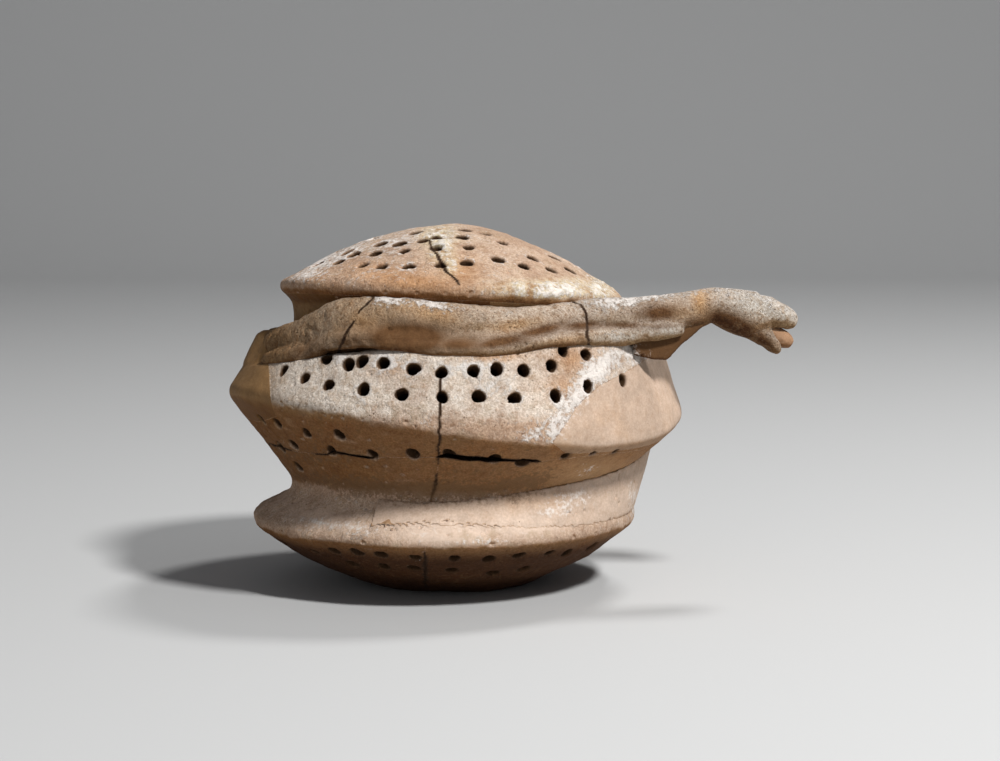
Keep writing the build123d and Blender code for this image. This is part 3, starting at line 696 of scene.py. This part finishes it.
# The lip's share of the front view lies below the valley, and outside a core
LIP_BOTTOM, LIP_BACK, CORE_RADIUS, CORE_SIDES = 60, -12, 61.3, 120
valley = np.array(valley)
line = np.vstack((valley[0] - (4, 0, 3), valley, valley[-1] + (3, 0, -1)))[:, [0, 2]]
outline = [(line[0, 0], LIP_BOTTOM)] + [tuple(spot) for spot in line] + [(line[-1, 0], LIP_BOTTOM)]
lip_zone = prism(outline, 1, FRONT_END, LIP_BACK)
cut(lip_zone, sector(-60, 100), "INTERSECT")
rims = [around(ring(CORE_RADIUS, height, -1), turns_of(CORE_SIDES)) for height in (0, 200)]
cut(lip_zone, link("core", *loft(rims)), "DIFFERENCE")
JAW_LINE = [(93.2, 60), (93.2, 84.6), (97.5, 85.6), (102.3, 87.3), (104.5, 84.6), (108.5, 81), (112, 60)]
jaw_zone = prism(JAW_LINE, 1, -60, 20)

# The two breaks through the snake: across, height and width of the open crack, in millimetres
SNAKE_LEFT = [
    (-14, 142, 0), (-23.8, 102, 0), (-25.1, 98.8, 0.3), (-26.7, 97.3, 0.4), (-28.9, 95.4, 0.2),
    (-30.1, 93.2, 0), (-31.7, 90.7, 0.4), (-33.6, 87.8, 0.6), (-35.2, 84, 0.4), (-37, 79, 0.2), (-40, -24, 0),
]
SNAKE_RIGHT = [
    (33, 142, 0), (36.5, 99.3, 0.3), (37.5, 97.1, 0.4), (40.9, 96.1, 0.6), (42.2, 93.6, 0.5),
    (42.5, 90.4, 0.3), (42.5, 87.5, 0.4), (43.5, 83.7, 0.35), (44.5, 81, 0.2), (46, -24, 0),
]
left_crack = parted(SNAKE_LEFT, SNAKE_LEFT_SEED)
right_crack = parted(SNAKE_RIGHT, SNAKE_RIGHT_SEED)
head_block = half_space(neck_end, ahead)
tail_sector = sector(-230, -106)
whole_head = cut(snake, head_block, "INTERSECT", "whole_head")
pieces["snake_lower_jaw"] = cut(whole_head, jaw_zone, "INTERSECT", "jaw")
pieces["snake_head"] = cut(whole_head, jaw_zone, "DIFFERENCE", "head")
free = cut(snake, head_block, "DIFFERENCE", "free")
lip = cut(free, lip_zone, "INTERSECT", "lip")
cut(free, lip_zone, "DIFFERENCE")
pieces["snake_tail"] = cut(free, tail_sector, "INTERSECT", "tail")
bound = cut(free, tail_sector, "DIFFERENCE", "bound")
pieces["snake_neck"] = cut(bound, right_crack[1], "INTERSECT", "neck")
left_of_neck = cut(bound, right_crack[0], "INTERSECT", "left_of_neck")
pieces["snake_front_segment"] = cut(left_of_neck, left_crack[1], "INTERSECT", "front")
pieces["snake_left_segment"] = cut(left_of_neck, left_crack[0], "INTERSECT", "left")
lip_halves = [cut(lip, half, "INTERSECT", "half") for half in right_crack]
pieces["waist_lip"] = cut(lip_halves[0], lip_halves[1], "UNION")
tongue = rolled(modelled(neck_end + ahead * 17.78 + down * 8.24, 8.9, 3, 3.3, 2.2, TONGUE), "tongue")
pieces["snake_tongue"] = surfaced(remeshed(tongue), 3, 0.15, 0.1)

# The prop under the neck: an upright slab along the neck's own direction, and half its thickness
WEB = np.array([
    (0.41, -0.03), (0.41, -0.226), (0.55, -0.26), (0.645, -0.268), (0.75, -0.166), (0.9, -0.05),
    (1.01, 0.01), (1.01, 0.06),
])
WEB_LENGTH, WEB_HALF, WEB_ALONG, WEB_OUT = 47.76, 4.0, 0.942, 0.335
along, lift = WEB_LENGTH * WEB.T
web_sections = []
for side in (-WEB_HALF, WEB_HALF):
    across = along * WEB_ALONG - side * WEB_OUT
    outward = along * WEB_OUT + side * WEB_ALONG
    web_sections.append(neck_start + np.stack([across, outward, lift], 1))
web = remeshed(link("web", *loft(web_sections)))
pieces["neck_web"] = surfaced(cut(cut(web, outer, "DIFFERENCE"), snake, "DIFFERENCE"), 4, 0.3, 0.1)
cut(pieces["left_side_fill"], snake, "DIFFERENCE")


# Colour: tones of clay, plaster, lime and soil, with painted light and shade, laid over the finished pieces
def octaves(points, size, seed):
    return sum(noise(points, size / 2 ** step, seed + step) / 1.7 ** step for step in range(4)) / 2.2


def mix(first, second, share):
    return first + (np.array(second) - first) * np.clip(share, 0, 1)[:, None]


def blots(points, marks):
    """How far soft blots cover each point of the front."""
    share = np.zeros(len(points))
    for x, z, wide, tall, tilt, strength in marks:
        c, s = cos(radians(tilt)), sin(radians(tilt))
        dx, dz = points[:, 0] - x, points[:, 2] - z
        u, v = (dx * c + dz * s) / wide, (dz * c - dx * s) / tall
        share = np.maximum(share, strength * np.exp(-u * u - v * v))
    return share * soft_step(-points[:, 1], -4, 6)


def hole_shares(points):
    """How deep each point lies in a hole, and how near it is to a hole's edge."""
    deep, edge = np.zeros(len(points)), np.zeros(len(points))
    for center, outward in zip(centers, outwards):
        near = np.nonzero(np.abs(points - center).max(1) < 8)[0]
        if len(near):
            offset = points[near] - center
            depth = offset @ outward
            away = np.linalg.norm(offset - depth[:, None] * outward, axis=1)
            deep[near] = np.maximum(deep[near], soft_step(-depth, -0.1, 1.0) * soft_step(-away, -2.9, -2.3))
            edge[near] = np.maximum(edge[near], soft_step(-away, -4.2, -2.2) * soft_step(depth, -1.2, 0))
    return deep, edge


def crack_share(points, breaks):
    """How near a point in front lies to the open part of a break."""
    share = np.zeros(len(points))
    for line, seed, level in breaks:
        run, side = (0, 1) if level else (1, 0)
        keys = np.array(sorted(line, key=lambda mark: mark[run]))
        along, off = points[:, 2 * run], points[:, 2 * side]
        middle = np.interp(along, keys[:, run], keys[:, side])
        gap = np.interp(along, keys[:, run], keys[:, 2])
        where = points.copy()
        where[:, 2 * side] = middle
        near = np.nonzero((np.abs(off - middle) < 3) & (gap > 0.12) & (points[:, 1] < -8))[0]
        away = np.abs(off[near] - middle[near] + ragged(where[near], seed))
        half = gap[near] * 0.5
        share[near] = np.maximum(share[near], soft_step(-away, -half - 0.42, -half - 0.12))
    return share


# Each break with its seed, and whether it runs level
VESSEL_BREAKS = ((UPRIGHT, UPRIGHT_SEED, False), (LEVEL, LEVEL_SEED, True))
SNAKE_BREAKS = ((SNAKE_LEFT, SNAKE_LEFT_SEED, False), (SNAKE_RIGHT, SNAKE_RIGHT_SEED, False))

# Blots: across, height, half sizes in millimetres, tilt in degrees and strength
LIME = [
    (-35, 80.5, 4, 2.5, 0, 0.8), (-21, 80, 5, 3, 10, 0.9), (-12, 78.5, 4, 3, 0, 0.8), (6, 79, 6, 2, 0, 0.5),
    (58, 80, 7, 3, -35, 0.95), (46.5, 76.5, 10, 4, 32, 1.0), (38.5, 68, 9, 4, 48, 0.9),
    (33, 60.5, 7, 4, 40, 0.8), (26, 58, 8, 3.5, 10, 0.6), (43, 43, 8, 4.5, 20, 0.85), (39, 34, 8, 4, 10, 0.9),
    (33, 30.5, 7, 2.5, 0, 0.8), (59, 29, 2.5, 7, 10, 0.9), (-44, 107, 9, 2.5, 25, 0.8),
    (-37, 109.5, 10, 2, 25, 0.7), (-20, 113, 9, 2, 15, 0.5), (-49.5, 99.5, 3, 1.5, 0, 0.4),
    (-28, 71, 5, 4, 0, 0.45), (12, 72, 8, 5, 0, 0.35), (-8, 62, 9, 3, 0, 0.35), (50, 104, 9, 2.5, -25, 0.5),
    (-40, 26.5, 12, 1.2, 0, 0.5), (10, 23, 14, 1.4, 0, 0.4), (-15, 15, 9, 3, 0, 0.35),
]
CRUST = [
    (30, 100.8, 15, 2.3, -3, 1.15), (47, 99, 6, 2.3, -10, 1.0), (-4.5, 116, 5, 2.5, 0, 1.0),
    (-4, 113, 3.5, 3, 0, 1.1), (-1, 109, 2.5, 2.5, 0, 0.8), (20, 103, 6, 1, 0, 0.5),
]
PEACH = [
    (-2, 26.5, 20, 5, 0, 1.3), (22, 27.5, 18, 5, 0, 1.2), (-42, 28, 20, 3.5, 0, 0.75),
    (44, 42, 16, 7, 0, 0.9), (52, 30, 14, 6, 0, 0.7),
]
OCHRE = [
    (-66, 72, 9, 12, 0, 1.0), (-60, 60, 8, 8, 0, 0.9), (-58, 45, 10, 10, 0, 0.5), (-40, 47, 20, 7, 0, 0.4),
]
SOIL = [
    (-42, 93, 8, 3, 0, 0.7), (-20, 98.5, 14, 1.2, 0, 0.7), (-30, 50, 30, 4, 0, 0.4), (15, 45, 30, 4, 0, 0.35),
    (10, 84, 30, 1.4, 0, 0.9), (-45, 48, 14, 5, 0, 0.5), (-10, 38, 40, 4, 0, 1.4), (25, 41, 20, 3, 8, 1.2),
    (0, 63.5, 40, 1.6, -8, 0.6), (-45, 66, 12, 2, 0, 0.6), (-30, 23.5, 20, 1.5, 0, 0.6),
]
RUST = [
    (-14, 104.5, 22, 4, -5, 0.9), (2, 107, 8, 5, -10, 0.8), (-44, 104, 7, 3, 10, 0.5), (39, 80, 7, 4, 0, 0.8),
    (-20, 78, 6, 3, 0, 0.6), (14, 82, 12, 1.8, 0, 0.8), (-18, 99.5, 9, 1.0, 5, 1.2), (-38, 101, 6, 3, 0, 0.6),
    (34, 72, 6, 4, 0, 0.6), (-12, 96, 8, 1, 0, 0.6),
]
SNAKE_LIME = [
    (-20, 99.5, 7, 2.2, 0, 1.0), (-7, 98, 8, 2, -10, 0.9), (46, 96, 8, 2.5, 0, 0.6),
    (62, 97.5, 9, 2.5, 5, 0.7),
]
# Soil stain on the snake's front, with painted shade along the valley above the lip and under the neck and
# head
SNAKE_STAIN_AND_SHADE_BLOTS = [
    (-14, 87.5, 15, 5.5, 0, 1.6), (-30, 86, 8, 5, 0, 0.8), (2, 86, 12, 3, 0, 1.1),
    (-46, 82, 12, 3.5, 15, 0.7), (66, 93, 8, 3, 0, 1.2), (78, 89, 6, 3, 0, 0.8), (90, 87.5, 9, 4.2, -30, 1.8),
    (100, 83, 6, 3, -42, 1.1), (15, 86.5, 12, 2, 8, 1.2), (28, 89.3, 10, 1.6, 10, 1.2),
    (41, 90, 9, 1.3, 0, 1.1), (54, 89.5, 9, 1.3, -3, 1.0), (66, 88.8, 6, 1.2, 0, 0.8),
    (28, 84.5, 12, 1.5, 6, 0.7),
]
SNAKE_OCHRE = [
    (79.5, 96, 3, 5, 0, 1.0), (-28, 92, 6, 4, 0, 0.7), (-6, 95, 9, 3, -12, 0.7), (20, 91, 9, 2, 6, 0.7),
    (-52, 84, 8, 6, 0, 0.6), (72, 92, 5, 3, 0, 0.7), (36, 86, 9, 1.6, 6, 0.8),
]
HEAD_GREY = [
    (98, 95, 12, 6, -20, 0.9), (68, 87, 9, 4, 0, 0.9), (108, 91, 6, 5, 0, 0.9), (54, 85.5, 12, 3, 0, 0.85),
]

# Tones as linear colours: the base of each slot, what is laid over it, and factors that multiply it; the
# underside, left and bowl factors are painted shade
BASES = {
    "fired_clay": (0.50, 0.345, 0.245), "ochre_plaster": (0.29, 0.165, 0.068),
    "peach_plaster": (0.47, 0.345, 0.255), "cream_plaster": (0.62, 0.47, 0.30),
    "snake_clay": (0.44, 0.33, 0.23), "tongue_clay": (0.36, 0.21, 0.12),
}
PROP_PAINTED_SHADE, PALE_PEACH, FIRED_ORANGE = (0.085, 0.038, 0.013), (0.68, 0.53, 0.42), (0.54, 0.32, 0.18)
BLOOM_AND_TOP_LIGHT, PALE_SHOULDER_AND_LEFT_LIGHT, DUN = (0.58, 0.45, 0.35), (0.80, 0.72, 0.635), (0.38, 0.28, 0.19)
RUST_TONE, OCHRE_TONE, CRUST_YELLOW = (0.47, 0.245, 0.105), (0.44, 0.27, 0.13), (0.72, 0.62, 0.42)
SNAKE_DUN, SNAKE_PALE_AND_TOP_LIGHT, SNAKE_GOLD = (0.36, 0.24, 0.135), (0.50, 0.42, 0.35), (0.55, 0.34, 0.17)
SNAKE_GREY, SNAKE_STAIN_AND_SHADE_TONE, SNAKE_END = (0.60, 0.57, 0.52), (0.125, 0.06, 0.023), (0.30, 0.175, 0.075)
PAINTED_HOLE_SHADE, CRACK_DARK = (0.075, 0.038, 0.016), (0.05, 0.025, 0.012)
PLASTER_LIGHT, PLASTER_SHADE, PAINTED_UNDERSIDE_SHADE = (1.12, 1.14, 1.18), (0.86, 0.80, 0.72), (0.62, 0.46, 0.27)
PAINTED_LEFT_SHADE, PAINTED_BOWL_SHADE = (0.7, 0.6, 0.45), (0.27, 0.21, 0.17)
TONE_LEAST, TONE_MOST = 0.004, 0.85


# Each coat gives the tone, lime, soil, roughness and crust of a piece's points; some paint light and shade
# into the tone
def plaster_coat(points, tone, waves, slot, dark):
    broad, middle, _ = waves
    # Painted shade: the prop under the neck is laid almost wholly in a dark brown
    if dark:
        tone = mix(tone, PROP_PAINTED_SHADE, np.full(len(points), 0.95))
    tone = mix(tone, tone * PLASTER_LIGHT, 0.5 + broad)
    if slot == "peach_plaster":
        tone = mix(tone, PALE_PEACH, blots(points, PEACH))
    tone = mix(tone, tone * PLASTER_SHADE, soft_step(middle, 0.05, 0.6) * 0.6)
    lime = 0.85 * blots(points, LIME) + 0.25 * middle - 0.15
    soil_and_shade = 0.3 * soft_step(middle, 0.3, 0.8) + 0.7 * blots(points, SOIL)
    if slot == "cream_plaster":
        lime = np.maximum(lime, blots(points, CRUST))
    return tone, lime, soil_and_shade, np.ones(len(points)), np.zeros(len(points))


def sherd_coat(points, tone, waves, up, edge):
    broad, middle, fine = waves
    # Pale bloom from noise, with painted light on faces that look up
    bloom_and_top_light = 0.7 * broad + 0.8 * middle + 0.5 * fine + 0.45 * up
    tone = mix(tone, FIRED_ORANGE, soft_step(middle - 0.5 * broad + 0.3 * fine, 0.0, 0.6) * 0.6)
    tone = mix(tone, BLOOM_AND_TOP_LIGHT, soft_step(bloom_and_top_light, -0.15, 0.75) * 0.8)
    # A paler shoulder band, with painted light that grows towards the left
    shoulder = soft_step(points[:, 2], 60, 66) * soft_step(-points[:, 2], -90, -84)
    tone = mix(tone, PALE_SHOULDER_AND_LEFT_LIGHT, shoulder * soft_step(bloom_and_top_light - points[:, 0] / 120, -0.8, 0.4) * 0.95)
    peach = np.clip(blots(points, PEACH), 0, 1)
    tone = mix(tone, PALE_PEACH, peach)
    tone = mix(tone, DUN, soft_step(fine - 0.4 * broad, 0.1, 0.6) * 0.6)
    tone = mix(tone, RUST_TONE, blots(points, RUST) * 0.9)
    tone = mix(tone, OCHRE_TONE, blots(points, OCHRE))
    lime = 1.15 * blots(points, LIME) + 0.4 * middle + 0.25 * broad + 0.15 * up + 0.1 * fine - 0.08
    lime += edge * (0.2 + 0.5 * middle)
    covered = blots(points, CRUST)
    crust = covered * (0.75 + 0.8 * fine + 0.4 * middle)
    tone = mix(tone, CRUST_YELLOW, crust * 1.3)
    tone = mix(tone, OCHRE_TONE, soft_step(covered, 0.05, 0.2) * soft_step(-fine, 0.1, 0.5) * 0.8)
    soil_and_shade = 0.9 * blots(points, SOIL) * (1 - peach) + 0.35 * middle + 0.2 * fine - 0.1 - 0.3 * peach
    return tone, np.maximum(lime, crust), soil_and_shade, 1 - 0.75 * peach, crust


def snake_coat(points, tone, waves, up, slot):
    broad, middle, _ = waves
    grey, stain_and_shade = blots(points, HEAD_GREY), blots(points, SNAKE_STAIN_AND_SHADE_BLOTS)
    tone = mix(tone, SNAKE_DUN, soft_step(middle + 0.3 * broad, -0.1, 0.5) * 0.7)
    if slot == "snake_clay":
        # Paler towards the right, with painted light on faces that look up
        pale = soft_step(points[:, 0] + 20 * broad, -5, 30) * soft_step(up, -0.2, 0.5)
        tone = mix(tone, SNAKE_PALE_AND_TOP_LIGHT, pale * 0.8)
    tone = mix(tone, SNAKE_GOLD, blots(points, SNAKE_OCHRE))
    if slot == "snake_clay":
        tone = mix(tone, SNAKE_GREY, 0.85 * grey)
    # Soil stain and painted shade on the snake's front
    tone = mix(tone, SNAKE_STAIN_AND_SHADE_TONE, stain_and_shade * 0.95)
    tone = mix(tone, SNAKE_END, soft_step(-points[:, 0], 48, 60) * 0.9)
    lime = blots(points, SNAKE_LIME) + 0.35 * middle + 0.45 * up * soft_step(broad, -0.3, 0.4) - 0.3
    lime += 0.3 * grey - 0.9 * stain_and_shade + 0.35 * up * soft_step(points[:, 0], 20, 60)
    rough = 1 - 0.6 * np.clip(blots(points, SNAKE_STAIN_AND_SHADE_BLOTS[:3]), 0, 1)
    return tone, lime, 0.45 * middle + 0.1, rough, np.zeros(len(points))


def painted(piece, slot, dark=False):
    """Write tone, lime, soil with painted shade, and roughness to the points of a piece, and thicken its lime
    and crust.
    """
    mesh = piece.data
    points, normals = points_of(mesh), read(mesh, "normal")
    up = normals[:, 2]
    plaster = slot.endswith("plaster")
    waves = broad, middle, fine = octaves(points, 26, 81), octaves(points, 9, 91), octaves(points, 3, 101)
    tone = np.tile(np.array(BASES[slot], float), (len(points), 1))
    deep, edge = hole_shares(points)
    if plaster:
        coat = plaster_coat(points, tone, waves, slot, dark)
    elif slot == "fired_clay":
        coat = sherd_coat(points, tone, waves, up, edge)
    else:
        coat = snake_coat(points, tone, waves, up, slot)
    tone, lime, soil_and_shade, rough, crust = coat
    inner = soft_step(-(normals[:, 0] * points[:, 0] + normals[:, 1] * points[:, 1]) / 60, 0.15, 0.5)
    # Painted shade on faces that look down: a darker, browner tone, more of the soil tone and less lime
    under = soft_step(-up + 0.2 * middle, 0.12, 0.6)
    left = soft_step(-points[:, 0], -40, 60)
    tone = mix(tone, tone * PAINTED_UNDERSIDE_SHADE, under * (0.7 if plaster else 0.95))
    # More painted shade on the undersides towards the left
    tone = mix(tone, tone * PAINTED_LEFT_SHADE, under * left * 0.8)
    # Painted shade, darker towards the bottom of the bowl
    tone = mix(tone, tone * PAINTED_BOWL_SHADE, soft_step(-points[:, 2], -22, -15))
    # The soil tone also carries painted shade on faces that look down, and is laid more on faces turned
    # inward
    soil_and_shade += under * 0.25 + 0.6 * inner * (not plaster)
    lime -= 0.45 * under
    # Painted shade: dark in the holes and on the sherds' inner faces
    tone = mix(tone, PAINTED_HOLE_SHADE, np.maximum(deep, inner * 0.7 * (slot == "fired_clay")))
    crack = crack_share(points, SNAKE_BREAKS if slot == "snake_clay" else VESSEL_BREAKS)
    tone = mix(tone, CRACK_DARK, crack)
    lime = np.where((deep > 0.3) | (crack > 0.4), -1, lime)
    tone = np.clip(tone * (1 + 0.2 * fine + 0.10 * middle)[:, None], TONE_LEAST, TONE_MOST)
    if not plaster:
        thick = 0.3 * np.clip(lime, 0, 1) * (0.6 + 0.8 * fine) + np.clip(crust, 0, 1) * 0.9 * (0.4 + fine)
        put_points(mesh, points + normals * thick[:, None])
    layer = mesh.color_attributes.new("tone", "FLOAT_COLOR", "POINT")
    colours = np.column_stack([tone, np.ones(len(points))])
    layer.data.foreach_set("color", colours.astype(np.float32).ravel())
    for label, share in (("lime", lime), ("soil_and_shade", soil_and_shade), ("rough", rough)):
        layer = mesh.attributes.new(label, "FLOAT", "POINT")
        layer.data.foreach_set("value", np.clip(share, -1, 1.5).astype(np.float32))


# What the grain, stains, soil and painted shade, specks and lime of a material are coloured with
GRAIN_DARK, GRAIN_PALE, STAIN = (0.58, 0.48, 0.38), (1.3, 1.3, 1.3), (0.62, 0.48, 0.34)
SOIL_AND_SHADE_TONE, SPECK_TONE, LIME_TONE = (0.17, 0.095, 0.045), (0.13, 0.075, 0.04), (0.77, 0.715, 0.665)
SPECULAR, BUMP_DISTANCE = 0.2, 0.0008


def surface(name, speckle, roughness, bump, crumbs, rough_grain=0.25):
    """Unglazed clay: the painted tone, broken up by grain, specks, lime crumbs, and soil with painted shade.
    """
    material = bpy.data.materials.new(name)
    material.use_nodes = True
    nodes, links = material.node_tree.nodes, material.node_tree.links
    shader = nodes["Principled BSDF"]
    place = nodes.new("ShaderNodeTexCoord").outputs["Object"]

    def add(kind, linked, fixed, **settings):
        """A new node with its settings, and what each of its sockets is linked to or fixed at."""
        node = nodes.new("ShaderNode" + kind)
        for label, value in settings.items():
            setattr(node, label, value)
        for socket, value in fixed.items():
            node.inputs[socket].default_value = value
        for socket, source in linked.items():
            links.new(source, node.inputs[socket])
        return node

    def pattern(scale, detail, roughness):
        fixed = {"Scale": scale, "Detail": detail, "Roughness": roughness}
        return add("TexNoise", {"Vector": place}, fixed).outputs[0]

    def ramp(value, low, high, start, end):
        fixed = {"From Min": low, "From Max": high, "To Min": start, "To Max": end}
        return add("MapRange", {"Value": value}, fixed, interpolation_type="SMOOTHSTEP").outputs["Result"]

    def reckon(operation, first, second):
        linked, fixed = {0: first}, {}
        (fixed if isinstance(second, (int, float)) else linked)[1] = second
        return add("Math", linked, fixed, operation=operation).outputs[0]

    def mixed(share, under, over, blend="MIX"):
        fixed = {7: (*over, 1)}
        return add("Mix", {0: share, 6: under}, fixed, data_type="RGBA", blend_type=blend).outputs[2]

    def layer(label, output):
        return add("Attribute", {}, {}, attribute_name=label).outputs[output]

    grain, coarse, crumb = pattern(1500, 5, 0.65), pattern(420, 5, 0.6), pattern(650, 6, 0.7)
    rough = layer("rough", "Fac")
    dark_grain = reckon("MULTIPLY", rough, ramp(grain, 0.38, 0.66, 0, rough_grain))
    pale_grain = reckon("MULTIPLY", rough, ramp(grain, 0.5, 0.3, 0, 0.8 * rough_grain))
    stains = reckon("MULTIPLY", rough, ramp(coarse, 0.45, 0.72, 0, 0.9 * rough_grain))
    colour = mixed(dark_grain, layer("tone", "Color"), GRAIN_DARK, "MULTIPLY")
    colour = mixed(pale_grain, colour, GRAIN_PALE, "MULTIPLY")
    colour = mixed(stains, colour, STAIN, "MULTIPLY")
    soil_and_shade = reckon("ADD", layer("soil_and_shade", "Fac"), ramp(crumb, 0.3, 0.7, -0.45, 0.45))
    colour = mixed(ramp(soil_and_shade, 0.3, 0.9, 0, 0.75), colour, SOIL_AND_SHADE_TONE)
    specks = ramp(pattern(1100, 2, 0.5), 0.70 - speckle, 0.76 - speckle, 0, 0.8)
    specks = reckon("MULTIPLY", rough, specks)
    colour = mixed(specks, colour, SPECK_TONE)
    lime = reckon("ADD", layer("lime", "Fac"), ramp(crumb, 0.3, 0.7, -0.5, 0.5))
    lime = ramp(lime, 0.25, 0.95, 0, crumbs)
    colour = mixed(lime, colour, LIME_TONE)
    links.new(colour, shader.inputs["Base Color"])
    shader.inputs["Roughness"].default_value = roughness
    shader.inputs["Specular IOR Level"].default_value = SPECULAR
    height = reckon("ADD", grain, reckon("MULTIPLY", coarse, 1.2))
    height = reckon("ADD", height, reckon("MULTIPLY", lime, 0.5))
    height = reckon("SUBTRACT", height, reckon("MULTIPLY", specks, 0.6))
    strength = reckon("MULTIPLY", rough, bump)
    bumps = add("Bump", {"Strength": strength, "Height": height}, {"Distance": BUMP_DISTANCE})
    links.new(bumps.outputs["Normal"], shader.inputs["Normal"])
    return material


# Speckle, roughness, bump, lime crumbs and grain of each slot; pieces that aren't plain sherd or snake
LOOKS = {
    "fired_clay": (0.02, 0.9, 0.8, 0.85, 0.6), "snake_clay": (0.05, 0.9, 1.0, 0.85, 0.8),
    "ochre_plaster": (-0.02, 0.8, 0.3, 0.6), "peach_plaster": (-0.03, 0.75, 0.25, 0.8),
    "cream_plaster": (0.0, 0.85, 0.6, 0.9), "tongue_clay": (0.0, 0.7, 0.35, 0.4),
}
SURFACES = {slot: surface(slot, *look) for slot, look in LOOKS.items()}
SLOTS = {
    "collar_left_fill": "ochre_plaster", "collar_right_fill": "cream_plaster",
    "left_side_fill": "ochre_plaster", "right_side_fill": "peach_plaster",
    "groove_fill": "peach_plaster", "neck_web": "ochre_plaster",
    "snake_tongue": "tongue_clay", "waist_lip": "snake_clay",
}
kept = set(pieces.values())
for thing in list(bpy.context.scene.objects):
    if thing.type == "MESH" and thing not in kept and "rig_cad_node" not in thing:
        bpy.data.objects.remove(thing)
for name, piece in pieces.items():
    piece.name = "clay_" + name
    slot = SLOTS.get(name, "snake_clay" if name.startswith("snake") else "fired_clay")
    painted(piece, slot, name == "neck_web")
    piece.data.materials.clear()
    piece.data.materials.append(SURFACES[slot])
    piece.data.shade_smooth()
    piece.data.set_sharp_from_angle(angle=radians(50))
    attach(piece, "root")
    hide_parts(name)

# Floor, light and camera, in metres
NEAR, FAR, HALF, TOP, BEND = -1.5, 1.2, 3.0, 2.2, 0.5
FLOOR_COLOUR, FLOOR_ROUGHNESS = (0.48, 0.48, 0.475, 1), 0.9
sweep = [(NEAR, 0.0), (FAR, 0.0)]
sweep += [(FAR + BEND * sin(turn), BEND - BEND * cos(turn)) for turn in np.linspace(0.1, pi / 2, 12)]
sweep.append((FAR + BEND, TOP))
corners = [(x, y, z) for y, z in sweep for x in (-HALF, HALF)]
floor_mesh = bpy.data.meshes.new("floor")
floor_mesh.from_pydata(corners, [], [(k, k + 1, k + 3, k + 2) for k in range(0, len(corners) - 2, 2)])
floor_mesh.shade_smooth()
floor = bpy.data.objects.new("floor", floor_mesh)
bpy.context.scene.collection.objects.link(floor)
paper = bpy.data.materials.new("paper")
paper.use_nodes = True
sockets = paper.node_tree.nodes["Principled BSDF"].inputs
sockets["Base Color"].default_value = FLOOR_COLOUR
sockets["Roughness"].default_value = FLOOR_ROUGHNESS
floor_mesh.materials.append(paper)
LAMP_AIM = (0, 0, 0.06)


def aimed(thing, place, aim):
    """Put a lamp or the camera in its place, towards its aim."""
    thing.location = place
    thing.rotation_euler = (Vector(aim) - Vector(place)).to_track_quat("-Z", "Y").to_euler()
    bpy.context.scene.collection.objects.link(thing)


def lamp(name, place, size, power):
    """A soft round lamp that points at the vessel."""
    data = bpy.data.lights.new(name, "AREA")
    data.shape = "DISK"
    data.size = size
    data.energy = power
    aimed(bpy.data.objects.new(name, data), place, LAMP_AIM)


lamp("key", (0.57, -0.7, 1.0), 0.18, 19)
lamp("back", (0.5, 0.4, 1.15), 0.22, 8)
lamp("fill", (-0.5, -1.4, 0.5), 1.0, 1.2)
SKY_COLOUR, SKY_STRENGTH = (0.9, 0.93, 1, 1), 0.16
world = bpy.data.worlds.new("studio")
world.use_nodes = True
sockets = world.node_tree.nodes["Background"].inputs
sockets["Color"].default_value = SKY_COLOUR
sockets["Strength"].default_value = SKY_STRENGTH
bpy.context.scene.world = world

LENS, SENSOR, CAMERA_AIM, CAMERA_TILT = 108, 36, Vector((0.015, 0, 0.0667)), radians(6.75)
camera_data = bpy.data.cameras.new("camera")
camera_data.lens = LENS
camera_data.sensor_width = SENSOR
camera = bpy.data.objects.new("camera", camera_data)
aimed(camera, CAMERA_AIM + Vector((0, -cos(CAMERA_TILT), sin(CAMERA_TILT))), CAMERA_AIM)
bpy.context.scene.camera = camera
bpy.context.scene.view_settings.view_transform = "Standard"
